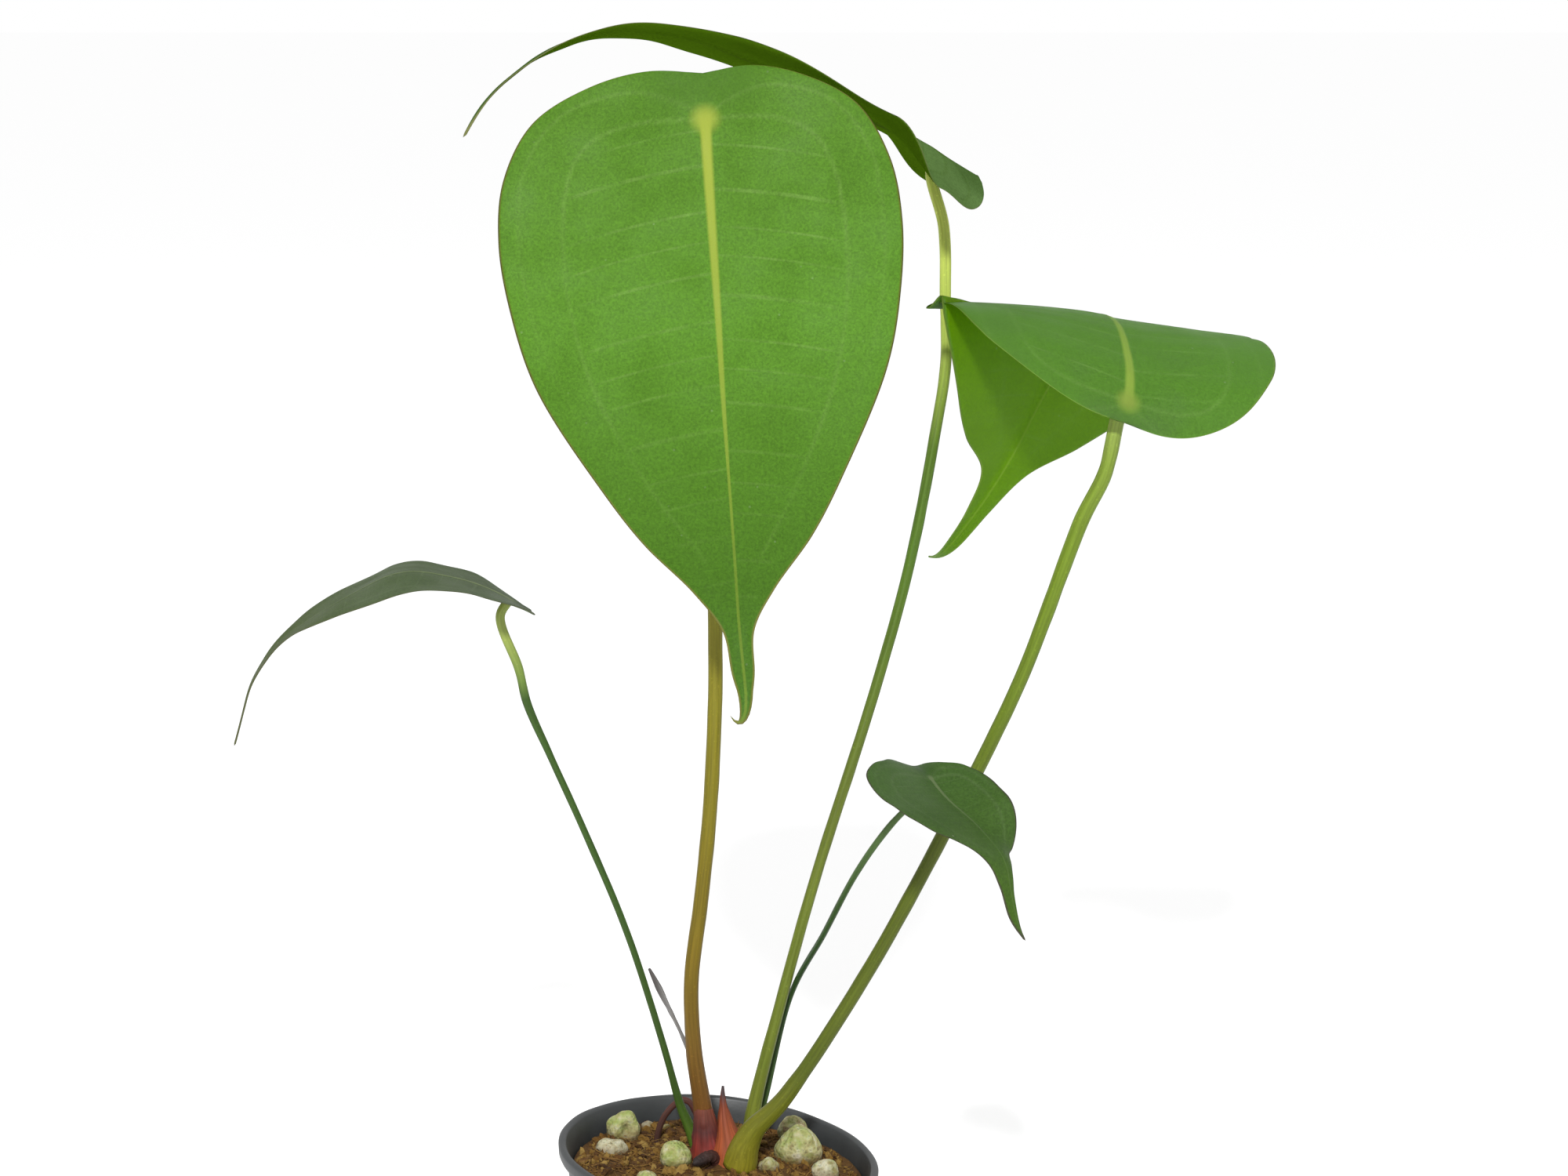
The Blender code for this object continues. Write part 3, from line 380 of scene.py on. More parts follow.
def shape_blade(leaf, flat):
    """Bends points of the flat blade. Each half lifts by the mean of the sine of its slope out to the point, the
    midrib sways aside, and the leaf follows an arch whose slope along it is given. Then it is set in place."""
    x, y = flat[..., 0], flat[..., 1]
    length = leaf["blade"] + leaf["drip"]
    out = np.abs(y) / np.where(y >= 0, *leaf["half"])
    fold = np.where(y >= 0, *(eased(x / length, pairs) for pairs in leaf["fold"]))
    curl = np.where(y >= 0, *(eased(x / length, ((-0.1, start), (1, end))) for start, end in leaf["curl"]))
    steps = (np.arange(SLOPE_STEPS) + 0.5) / SLOPE_STEPS
    slope = np.radians(fold[..., None] + curl[..., None] * out[..., None] * steps)
    across = y * np.cos(slope).mean(-1) + eased(x / length, leaf["sway"])
    lift = (np.sqrt(y * y + MIDRIB_SOFT**2) - MIDRIB_SOFT) * np.sin(slope).mean(-1)
    turn = math.radians(leaf["oblique"])
    along, beside = turned(x, across, -turn)
    run = np.linspace(-length, 1.6 * length, ARCH_STEPS)
    angle = np.radians(eased(run / length, leaf["arch"]))
    ways = np.stack([np.cos(angle), np.sin(angle)])
    travel = np.cumsum((ways[:, 1:] + ways[:, :-1]) / 2 * (run[1] - run[0]), axis=1)
    travel = np.hstack([np.zeros((2, 1)), travel])
    forward, upward = (np.interp(along, run, line) - np.interp(0, run, line) for line in travel)
    here = np.interp(along, run, angle)
    local = np.stack([*turned(forward - lift * np.sin(here), beside, turn), upward + lift * np.cos(here)], axis=-1)
    heading, rise, roll = np.radians(leaf["aim"])
    nose = np.array([*turned(math.cos(rise), 0, heading), math.sin(rise)])
    level = np.array([*turned(0, 1, heading), 0])
    side_way = level * math.cos(roll) + np.cross(nose, level) * math.sin(roll)
    return local @ np.stack([nose, side_way, np.cross(nose, side_way)]) + np.array(leaf["at"])


# %% [markdown]
# ## Veins
#
# On this plant a strong pale midrib starts at a yellow spot over the stalk. A few veins leave that spot towards
# the lobes and then run along the leaf inside its edge, and the side veins leave the midrib nearly square and
# end on the first of those. Drawing them with distances and phases, worked out on the flat blade and kept as
# attributes of the mesh, lets them follow every fold of the leaf.

# %% Vein lines on the flat blade
# Half a leaf's long veins: (along as a share of the blade, out as a share of the half width), then the strength
# at the start and the end.
LONG_VEINS = (
    (((0, 0), (0.0, 0.2), (0.006, 0.36), (0.03, 0.51), (0.065, 0.6), (0.13, 0.665), (0.24, 0.7), (0.38, 0.69),
      (0.57, 0.59), (0.78, 0.36), (0.93, 0.14)), 0.9, 0.25),
    (((0, 0), (-0.03, 0.09), (-0.052, 0.2), (-0.064, 0.32), (-0.058, 0.46), (-0.02, 0.68), (0.08, 0.85),
      (0.24, 0.9), (0.45, 0.84), (0.7, 0.6)), 0.75, 0.0),
    (((0, 0), (-0.04, 0.045), (-0.075, 0.1), (-0.09, 0.2)), 0.4, 0.0),
)
VEIN_WIDTH = 0.588  # mm from its middle, where a vein has faded to about a third
VEIN_POINTS = 140


def long_veins(leaf, flat):
    """Strength of the long veins at each point: for every vein, exp(-(distance / width)^2) times its strength
    there, and the greatest of them."""
    total = np.zeros(flat.shape[:-1])
    for places, start, end in LONG_VEINS:
        for half in (leaf["half"][0], -leaf["half"][1]):
            line = smooth_path([(x * leaf["blade"], y * half) for x, y in places], VEIN_POINTS)
            gap = ((flat[..., None, :] - line) ** 2).sum(-1)
            strength = start + (end - start) * gap.argmin(-1) / (VEIN_POINTS - 1)
            total = np.maximum(total, strength * np.exp(-gap.min(-1) / VEIN_WIDTH**2))
    return total


def side_veins(leaf, flat, share):
    """(number, strength) of the side vein at each point. The number is whole on a vein: the place where a line
    through the point, swept towards the tip as it goes out, meets the midrib, over the vein spacing."""
    x, y = flat[..., 0], flat[..., 1]
    out = np.abs(y)
    root = x - 0.10 * out - 0.0022 * out**2
    spacing = 0.078 * leaf["blade"]
    phase = root / spacing + 0.16 * np.sin(root / spacing * 1.9) + np.where(y >= 0, 0.15, 0.62)
    inside = np.clip((0.72 - share) / 0.1, 0, 1) * np.clip(root / (0.04 * leaf["blade"]), 0, 1)
    return phase, inside * np.clip(1.25 - x / leaf["blade"], 0, 1)


# %% [markdown]
# ## Blades as closed skins
#
# The bent surface lies in the middle of the blade. Its two faces stand off it by half the thickness, which dies
# away at the edge, and meet there, so a row of the blade is one closed ring. Low relief is real shape here: the
# leaf quilts a little between its side veins, and the midrib stands out below.

# %% Build a blade
BLADE_HALF_THICKNESS = 0.3
UPPER_COLUMNS = 64
LOWER_COLUMNS = 30
HOOK_LENGTH = 9.0
HOOK = (10.0, 12.4, 5.3)  # reach, back and aside, mm


def facing(points):
    """Unit normals of a grid of points, out of the leaf's upper side."""
    normal = np.cross(np.gradient(points, axis=1), np.gradient(points, axis=0))
    return normal / np.maximum(np.linalg.norm(normal, axis=-1, keepdims=True), 1e-12)


def relief(leaf, flat, share, phase, strength, below):
    """Low relief in mm along the normal: quilting between side veins, a wave along the edge, and the midrib, which
    stands up near the stalk and far more on the underside."""
    x, y = flat[..., 0], flat[..., 1]
    size = leaf["blade"] / 140
    quilt = -0.06 * size * np.cos(2 * math.pi * phase) * strength
    wave = leaf["wave"] * np.clip(share - 0.45, 0, 1) ** 2 * noise(together(x, y, 0), 17.0 * size, seed=3)
    ridge = size * np.clip(1.25 - np.clip(x / leaf["blade"], 0, 1.3), 0.12, 1) * np.clip((x + 3) / 6, 0, 1)
    ridge *= (-1.25 if below else 0.35) * np.exp(-(y / (1.5 * size)) ** 2)
    valley = 0.0 if below else -0.12 * size * np.exp(-(y / (5 * size)) ** 2)
    return ridge + valley + quilt + wave


def hooked(leaf, flat):
    """The tip curled aside in the plane of the blade. With t from 0 to 1 over the last HOOK_LENGTH, the middle line
    moves reach t - back t cubed along the leaf and aside t squared across, and each row stays square to it."""
    t = np.clip((flat[..., 0] - leaf["blade"] - leaf["drip"]) / HOOK_LENGTH + 1, 0, 1)
    reach, back, aside = leaf["hook"] * np.array(HOOK)
    middle = together(flat[..., 0] + reach * t - back * t**3, -aside * t**2)
    run = together(HOOK_LENGTH + reach - 3 * back * t**2, -2 * aside * t)
    run = run / np.linalg.norm(run, axis=-1, keepdims=True)
    return middle + flat[..., 1:] * together(-run[..., 1], run[..., 0])


def build_blade(name, leaf, rows, material):
    """One ring a row: the upper face from the left edge to the right, then the lower face back again."""
    faces = []
    for below, columns in ((False, UPPER_COLUMNS), (True, LOWER_COLUMNS)):
        flat, share, gap = flat_blade(leaf, rows, np.linspace(0, 1, columns + 1))
        phase, strength = side_veins(leaf, flat, share)
        middle = shape_blade(leaf, hooked(leaf, flat))
        stand = BLADE_HALF_THICKNESS * np.sqrt(1 - share**6) * (-1 if below else 1)
        points = middle + facing(middle) * (stand + relief(leaf, flat, share, phase, strength, below))[..., None]
        faces.append((points, together(flat[..., 0], flat[..., 1], float(below)),
                      together(phase, strength, long_veins(leaf, flat)), gap))
    upper, lower = faces
    rings, place, veins, edge = (np.concatenate([top, bottom[:, -2:0:-1]], axis=1)[1:-1]
                                 for top, bottom in zip(upper, lower))
    return skin(name, rings, material, ends=[upper[0][0, 0], upper[0][-1, 0]],
                values={"leaf_place": place, "leaf_veins": veins, "leaf_edge": edge})


# %% [markdown]
# ## Leaf finish
#
# A leaf's skin is waxy: a fairly even, weak gloss over a green that varies slowly, with fine grain. Light also
# comes through it, which makes the underside of an overhanging leaf glow yellow-green. A Principled shader gives
# the wax, and a Translucent one mixed in gives the glow. One function makes the finish, and each leaf brings its
# own greens, because old, young and shaded leaves differ. The upper greens of the back, right, left and small
# leaves also hold the grey sheen of their wax, painted in as a reflection.

# %% Leaf finish
# Painted sheen: the greyish upper greens of the back, right, left and small leaves hold the grey reflection of their
# wax; on the back leaf it is palest towards the stalk.
LEAF_GREENS = {
    "front": {"upper": ("#568420", "#5b8e24", "#48721a"), "mottle_and_notch_shade": "#467018", "edge": "#8a7f45",
              "midrib": "#a9b844", "vein": "#84a854", "lower": ("#527a14", "#446b0e"), "rib_width": 1.5,
              "rib_fade": 0.8, "glow": "#86b52a", "through": 0.22, "gloss": 0.5, "wax": 0.1, "dust": 0.12},
    "back": {"upper": ("#6d8f50", "#5f8040", "#547438"), "mottle_and_notch_shade": "#35521a", "edge": "#8c8a5a",
             "midrib": "#53701c", "vein": "#456213", "lower": ("#5d8316", "#50740c"), "rib_width": 1.3,
             "rib_fade": 0.6, "glow": "#6f9a16", "through": 0.18, "gloss": 0.6, "wax": 0.0, "dust": 0.0},
    "right": {"upper": ("#5d8536", "#567f30", "#547a34"), "mottle_and_notch_shade": "#5d724c", "edge": "#93a552",
              "midrib": "#a3b952", "vein": "#86a95c", "lower": ("#6f9a08", "#628a04"), "rib_width": 1.4,
              "rib_fade": 0.7, "glow": "#9fd010", "through": 0.42, "gloss": 0.45, "wax": 0.18, "dust": 0.3},
    "left": {"upper": ("#54693e", "#52673a", "#52632c"), "mottle_and_notch_shade": "#42562e", "edge": "#6b6a4e",
             "midrib": "#8b9a68", "vein": "#76895f", "lower": ("#566c30", "#465c24"), "rib_width": 0.9,
             "rib_fade": 0.8, "glow": "#7d9636", "through": 0.2, "gloss": 0.5, "wax": 0.14, "dust": 0.25},
    "small": {"upper": ("#4d6e32", "#48682a", "#4a6c1e"), "mottle_and_notch_shade": "#385624", "edge": "#4b3a3c",
              "midrib": "#75895a", "vein": "#6d8456", "lower": ("#557238", "#48652e"), "rib_width": 0.7,
              "rib_fade": 0.6, "glow": "#76962c", "through": 0.2, "gloss": 0.5, "wax": 0.2, "dust": 0.75},
}


def leaf_finish(name, leaf, greens):
    """Waxy leaf skin. Fine grain is 0.7 mm, as coarse as it needs to be to show; real leaf cells are finer."""
    material, shader, add = new_finish(f"waxy anthurium leaf, {name}")
    where = add("TexCoord", out="Object")
    place, veins = (add("SeparateXYZ", [add("Attribute", out="Vector", attribute_name=label)]).node.outputs
                    for label in ("leaf_place", "leaf_veins"))
    x, y, below = place
    phase, strength, long_lines = veins
    edge = add("Attribute", out="Fac", attribute_name="leaf_edge")
    blade = leaf["blade"]
    size = blade / 140

    # Slow change of green along the leaf, and broad mottling.
    along = add("MapRange", (x, -0.1 * blade, blade + leaf["drip"]))
    upper = add("ValToRGB", [along], stops=tuple(zip((0.0, 0.4, 0.8), greens["upper"])))
    broad = add("TexNoise", {"Vector": where, "Scale": cells(16), "Detail": 3.0})
    patch = add("MapRange", (broad, 0.5, 0.75, 0.0, 0.35))
    upper = add("Mix", {0: patch, 6: upper, 7: linear(greens["mottle_and_notch_shade"])}, **COLOURS)
    light, dark = (linear(code) for code in greens["lower"])
    lower = add("Mix", {0: broad, 6: light, 7: dark}, **COLOURS)
    base = add("Mix", {0: below, 6: upper, 7: lower}, **COLOURS)

    # Side veins: distance to the nearest whole phase, thinner than the long veins, breaking up here and there.
    wander = add("TexNoise", {"Vector": where, "Scale": cells(9), "Detail": 2.0})
    side = add("MapRange", (add("Math", (phase, 0.5), operation="PINGPONG"), 0.018, 0.06, 1.0, 0.0), **SOFTLY)
    for share in (strength, add("MapRange", (wander, 0.35, 0.65, 0.15, 0.75))):
        side = add("Math", (side, share), **TIMES)
    lines = add("Math", (side, long_lines), operation="MAXIMUM")
    lines_seen = add("Math", (lines, 0.45), **TIMES)

    # A few pale specks of dried water, the fine net of the smallest veins, and the grain of the skin.
    dust = add("TexVoronoi", {"Vector": where, "Scale": cells(8)}, "Distance")
    dust = add("MapRange", (dust, 0.03, 0.055, greens["dust"], 0.0))
    net = add("TexVoronoi", {"Vector": where, "Scale": cells(2.4)}, "Distance", feature="DISTANCE_TO_EDGE")
    net = add("MapRange", (net, 0.0, 0.09, 0.1, 0.0))
    grain = add("TexNoise", {"Vector": where, "Scale": cells(0.7), "Detail": 2.0})
    bright = add("Math", (add("MapRange", (grain, 0.3, 0.7, 0.82, 1.2)), net), **PLUS)
    for share, code in ((lines_seen, greens["vein"]), (dust, "#c9d0b4")):
        base = add("Mix", {0: share, 6: base, 7: linear(code)}, **COLOURS)
    base = add("VectorMath", {0: base, "Scale": bright}, operation="SCALE")

    # Midrib: wide and yellow at the stalk, narrowing and paling into the green towards the tip.
    beside = add("Math", [y], operation="ABSOLUTE")
    width = add("MapRange", (x, 0.0, 0.75 * blade, greens["rib_width"] * 1.25, 0.32 * greens["rib_width"]))
    rib = add("MapRange", (add("Math", (beside, width), operation="DIVIDE"), 0.45, 1.25, 1.0, 0.0), **SOFTLY)
    for ends in ((-1.8 * size, 0.0, 0.0, 1.0), (0.1 * blade, greens["rib_fade"] * 1.2 * blade, 1.0, 0.28)):
        rib = add("Math", (rib, add("MapRange", (x, *ends))), **TIMES)

    # The corner between the lobes is darkened as painted shade, and a pale spot over the stalk is where the veins
    # start.
    # Painted shade: this mask darkens the corner between the lobes with the mottle green.
    notch = add("MapRange", (x, -0.07 * blade, 0.02 * blade, 0.5, 0.0), **SOFTLY)
    inner = add("MapRange", (beside, 0.06 * blade, 0.17 * blade, 1.0, 0.0), **SOFTLY)
    notch = add("Math", (notch, inner), **TIMES)
    reach = add("VectorMath", [add("CombineXYZ", (x, y))], "Value", operation="LENGTH")
    spot = add("MapRange", (reach, 1.2 * size, 6 * size, 0.85, 0.0), **SOFTLY)

    # Thin edge line, where the skin is tougher and browner. These layers are laid one over another.
    rim = add("MapRange", (edge, 0.25, 0.8, 0.8, 0.0))
    for share, code in ((rib, greens["midrib"]), (notch, greens["mottle_and_notch_shade"]), (spot, greens["midrib"]),
                        (rim, greens["edge"])):
        base = add("Mix", {0: share, 6: base, 7: linear(code)}, **COLOURS)

    # Wax, whose gloss varies a little with the mottling, and the light that comes through.
    gloss = add("MapRange", (broad, 0.3, 0.7, greens["gloss"] - 0.05, greens["gloss"] + 0.1))
    height = add("Math", (add("Math", (lines, -0.35), **TIMES), grain), **PLUS)
    bump = add("Bump", {"Height": height, "Strength": 0.22, "Distance": 0.25 * MM})
    feed(shader, {"Base Color": base, "Roughness": gloss, "IOR": 1.4, "Specular IOR Level": greens["wax"],
                  "Normal": bump})
    glow = add("BsdfTranslucent", {"Color": linear(greens["glow"], 1.0), "Normal": bump})
    mixed = add("MixShader", (greens["through"], shader.outputs[0], glow))
    feed(material.node_tree.nodes["Material Output"], {"Surface": mixed})
    return material


# %% Make the five blades
BLADE_ROWS = {"front": 210, "back": 200, "right": 210, "left": 150, "small": 120}
EDGE_WAVES = {"front": 1.6, "back": 1.4, "right": 1.2, "left": 1.2, "small": 0.9}  # mm

for name, leaf in LEAVES.items():
    leaf["wave"] = EDGE_WAVES[name]
    leaf["hook"] = 1.0 if name == "front" else 0.0
    finish = leaf_finish(name, leaf, LEAF_GREENS[name])
    show(build_blade(f"leaf_{name}", leaf, BLADE_ROWS[name], finish), [f"blade_{name}"])

# %% [markdown]
# ## Stalks
#
# Each stalk is a tube on the CAD path. Just under the blade it is thicker and paler: that joint turns the leaf to
# the light. At the foot it widens into a sheath that clasps the crown, and a shallow groove runs up one side. The
# colours change along the stalk, so each point keeps its distance from the foot and from the blade.

# %% Stalk paths and radii, mm
CROWN_TOP = 80.0
STALKS = {
    "front": (((-3.5, 10, CROWN_TOP), (-3.8, 9.5, 86), (-5, 8, 95), (-7.9, 5, 117), (-8.5, 3, 141), (-5.7, 3, 164),
               (-2.6, 4, 194), (-0.8, 6, 229), (-0.7, 7, 256), (-1.5, 4, 303), (-2.3, 1, 352), (-2.5, -2, 385)),
              (3.2, 2.3, 2.1)),
    "back": (((9.5, 13, CROWN_TOP), (10.2, 13.3, 87), (11.2, 13.5, 95.5), (18.2, 16, 123.5), (30.8, 23, 168.5),
              (48.4, 32, 223), (60.9, 39, 267.5), (69.5, 43, 312.5), (72.3, 44.5, 332), (72, 45, 352),
              (71.3, 45, 375)),
             (2.4, 1.75, 1.8)),
    "right": (((6.5, 0, CROWN_TOP), (8.3, -0.8, 87), (11.3, -2, 93), (20.8, -4, 104), (45.2, -9, 144),
               (69.1, -15, 191), (92.2, -21, 241.5), (110, -25, 292), (116.8, -26.5, 307)),
              (3.8, 2.2, 2.3)),
    "left": (((-7, 15, CROWN_TOP), (-9.5, 15.2, 87), (-12.6, 15, 95), (-18.2, 14, 116.5), (-29.2, 12, 153.5),
              (-42.4, 10, 187.5), (-53.2, 9, 213), (-59.7, 8, 229), (-62, 7, 240)),
             (1.7, 1.1, 1.45)),
    "small": (((9.5, 18, CROWN_TOP), (11.5, 18.7, 87), (14.6, 19.8, 96.3), (22.3, 21.5, 128.2), (33.4, -4, 158),
               (43.5, -25, 184), (53, -36.5, 201)),
              (1.3, 0.95, 1.0)),
}
# Colours from the foot up, each at its height above the foot in mm, and then those of the joint, below the blade.
STALK_COLOURS = {
    "front": (((0, "#8b4b28"), (22, "#7a5525"), (60, "#796312"), (120, "#80761a"), (190, "#8a8626"),
               (270, "#858428")), (("#838a30", 45), ("#a0ac4a", 12))),
    # Painted light: the back stalk's joint is paler in life, and its codes are raised further to brighten it where
    # the back leaf's shadow falls on it.
    "back": (((0, "#868c34"), (30, "#707e26"), (120, "#687628"), (200, "#557622"), (235, "#5e7c28")),
             (("#b9cc5c", 52), ("#e4f272", 20))),
    "right": (((0, "#968d29"), (14, "#7c7c22"), (40, "#5c681b"), (120, "#586518"), (230, "#738c23")),
              (("#7f9634", 22), ("#93a84c", 12))),
    "left": (((0, "#5d7a2a"), (20, "#3f5a1f"), (90, "#3c5a20"), (160, "#3d5a22")),
             (("#708a3e", 28), ("#a0b058", 14))),
    "small": (((0, "#4b5f28"), (20, "#3b5526"), (70, "#34502a"), (110, "#3a5628")),
              (("#54703a", 16), ("#5f7a40", 6))),
}
FOOT_FLARE = {"front": 1.3, "back": 1.0, "right": 1.7, "left": 0.5, "small": 0.4}  # mm added to the radius


# %% Stalk finish
def stalk_finish(name, length, colours):
    """Smooth green rind: a ramp along the stalk, faint streaks along it and small pale specks."""
    material, shader, add = new_finish(f"anthurium stalk rind, {name}")
    place = add("Attribute", out="Vector", attribute_name="stalk_place")
    rising, joint = colours
    stops = [(height / length, code) for height, code in rising]
    stops += [(1 - below / length, code) for code, below in joint]
    share = add("Math", (add("SeparateXYZ", [place], "Z"), length), operation="DIVIDE")
    colour = add("ValToRGB", [share], stops=stops)
    stretched = add("Mapping", {0: place, "Scale": (1.6, 1.6, 0.045)})
    streak = add("TexNoise", {"Vector": stretched, "Scale": 1.0, "Detail": 3.0})
    specks = add("TexNoise", {"Vector": place, "Scale": 1.3, "Detail": 1.0})
    tint = add("Math", (add("MapRange", (streak, 0.3, 0.7, 0.8, 1.2)),
                        add("MapRange", (specks, 0.66, 0.74, 0.0, 0.3))), **PLUS)
    colour = add("VectorMath", {0: colour, "Scale": tint}, operation="SCALE")
    bump = add("Bump", {"Height": streak, "Strength": 0.25, "Distance": 0.2 * MM})
    feed(shader, {"Base Color": colour, "Roughness": 0.45, "Specular IOR Level": 0.15, "Subsurface Weight": 0.12,
                  "Subsurface Radius": (0.3, 0.6, 0.1), "Subsurface Scale": 1.5 * MM, "Normal": bump})
    return material


# %% Build the stalks
STALK_SIDES = 24
STALK_RINGS = 220
GROOVE_AT = 2.2  # radians round the stalk


def blade_seat(leaf):
    """The joint's point on the blade and the direction away from the underside there."""
    spots = shape_blade(leaf, np.array([(0, 0), (1.5, 0), (0, 1.5), (-1.5, 0), (0, -1.5)]))
    normal = np.cross(spots[1] - spots[3], spots[2] - spots[4])
    return spots[0], -normal / np.linalg.norm(normal)


def build_stalk(name, leaf):
    """Radius along the stalk: wide at the foot, even above it, swelling into the joint with a slight waist below.
    Round the stalk, a shallow groove and ripples of a few hundredths."""
    points, (base, middle, top) = STALKS[name]
    joint, away = blade_seat(leaf)
    centres = smooth_path([*points, joint + away * 6, joint + away * 0.1], STALK_RINGS)
    length = float(np.linalg.norm(np.diff(centres, axis=0), axis=1).sum())
    up = np.linspace(0, length, STALK_RINGS)
    below = length - up
    joint_length = STALK_COLOURS[name][1][0][1]
    widths = (base, middle * 1.05, middle, middle, middle, middle, top * 1.02, top)
    girth = np.interp(up, np.linspace(0, length, len(widths)), widths)
    girth += FOOT_FLARE[name] * np.exp(-(up / 11.0) ** 2)
    girth *= 1 - 0.07 * np.exp(-((below - joint_length) / 3.0) ** 2) + 0.05 * np.exp(-(below / 6.0) ** 2)
    turn = around(STALK_SIDES)
    groove = 0.10 * np.exp(-((np.angle(np.exp(1j * (turn - GROOVE_AT)))) / 0.35) ** 2)
    ripple = noise(spun(6, up[:, None], STALK_SIDES), 7.0, seed=11)
    radii = girth[:, None] * (1 - groove + 0.03 * ripple)
    return skin(f"stalk_{name}", tube_rings(centres, radii), stalk_finish(name, length, STALK_COLOURS[name]),
                values={"stalk_place": spun(radii, up[:, None], STALK_SIDES)})


for name, leaf in LEAVES.items():
    show(build_stalk(name, leaf), [f"petiole_{name}"])

# %% [markdown]
# ## The soft pot
#
# A nursery pot is moulded from thin polypropylene. Its rim is rolled, and the whole pot is pressed a little out
# of round. The profile is turned into a surface, and the same formula that bends the CAD pot bends this one,
# plus a slight waviness of the thin rim. The drain holes are cut with Booleans, because a hole through a floor is
# what Booleans do best.

# %% Pot sizes, mm and degrees
POT_HEIGHT = 85.0
POT_RIM_RADIUS = 51.0
POT_TOP_RADIUS = 48.4
POT_BASE_RADIUS = 36.0
POT_WALL = 1.0
POT_FLOOR = 1.2
POT_FLAT = 2.0
POT_RIM_DEPTH = 5.0
POT_LIFT, POT_LIFT_AT = 4.9, 164.0
POT_OVAL, POT_OVAL_AT = 0.013, -46.0
DRAIN_HOLES, DRAIN_RADIUS, DRAIN_CIRCLE, DRAIN_TURN = 6, 4.0, 24.0, 32.0
DRILL_SIDES = 40
MIX_TOP = 78.0


def soften(points):
    """The pot pressed out of round: oval towards the top, with one side of the rim standing higher. The share of it
    grows with the square of the height."""
    x, y, z = points[..., 0], points[..., 1], points[..., 2]
    share = np.clip((z - POT_FLAT) / (POT_HEIGHT - POT_FLAT), 0, None) ** 2
    turn = math.radians(POT_OVAL_AT)
    along, across = turned(x, y, -turn)
    flat = turned(along * (1 + POT_OVAL * share), across * (1 - POT_OVAL * share), turn)
    return together(*flat, z + POT_LIFT * share * turned(x, y, -math.radians(POT_LIFT_AT))[0] / POT_RIM_RADIUS)


def outer_radius(height):
    return POT_BASE_RADIUS + (POT_TOP_RADIUS - POT_BASE_RADIUS) * height / (POT_HEIGHT - POT_RIM_DEPTH)


# %% Pot finish
def pot_finish():
    """Moulded black polypropylene: dark grey rather than black, matt from the mould's fine grain, with a few dull
    water marks and dust where hands and water touch it."""
    material, shader, add = new_finish("moulded black polypropylene")
    where = add("TexCoord", out="Object")
    marks = add("TexNoise", {"Vector": where, "Scale": cells(22), "Detail": 5.0, "Roughness": 0.6})
    fine = add("TexNoise", {"Vector": where, "Scale": cells(0.9), "Detail": 2.0})
    colour = add("ValToRGB", [marks], stops=((0.35, "#353839"), (0.6, "#414445"), (0.8, "#565955")))
    feed(shader, {"Base Color": colour, "Roughness": add("MapRange", (marks, 0.3, 0.7, 0.44, 0.62)), "IOR": 1.49,
                  "Normal": add("Bump", {"Height": fine, "Strength": 0.2, "Distance": 0.15 * MM})})
    return material


# %% Build the pot
POT_TURNS = 240
PROFILE_STEP = 4.0
BEAD_RADIUS = 1.3


def closely(profile, step):
    """The profile with extra points, so that no stretch is longer than the step."""
    made = [profile[0]]
    for start, end in zip(profile, profile[1:]):
        count = max(1, math.ceil(math.dist(start, end) / step))
        made += [tuple(np.add(start, np.subtract(end, start) * i / count)) for i in range(1, count + 1)]
    return made


def build_pot():
    """Profile of (radius, height) carried round the axis, softened, and rippled by a few tenths near the rim."""
    shoulder = POT_HEIGHT - POT_RIM_DEPTH
    inside = [(r, POT_FLOOR) for r in (2.0, 34.0)] + [(outer_radius(z) - POT_WALL, z) for z in (2.2, shoulder)]
    bead = [(POT_RIM_RADIUS - BEAD_RADIUS + BEAD_RADIUS * math.cos(a), POT_HEIGHT - 0.9 + 1.0 * math.sin(a))
            for a in np.radians(np.linspace(180, 0, 9))]
    lip = [(POT_TOP_RADIUS - 0.4, 83.2), *bead, (POT_RIM_RADIUS - 0.1, 82.2), (POT_RIM_RADIUS - 0.7, 81.0),
           (POT_TOP_RADIUS + 0.7, 80.6), (outer_radius(shoulder - 0.6), shoulder - 0.6)]
    outside = [(outer_radius(69.0), 69.0), (outer_radius(68.6) - 0.25, 68.4), (outer_radius(7.0) - 0.25, 7.0),
               (outer_radius(6.6), 6.4), (outer_radius(2.0), 2.0), (POT_BASE_RADIUS - 0.9, 0.0), (2.0, 0.0)]
    profile = np.array(closely(inside + lip + outside, PROFILE_STEP))
    radius, height = profile[:, :1], profile[:, 1:]
    rings = spun(radius, height, POT_TURNS)
    soft = np.clip((height - 30) / 50, 0, 1)
    ripple = noise(spun(40, height * 0.5, POT_TURNS), 13.0, seed=5)
    rings[..., :2] *= (1 + 0.006 * soft * ripple)[..., None]
    rings[..., 2] += 0.5 * soft * np.roll(ripple, 20, axis=1)
    return skin("pot", soften(rings), pot_finish())


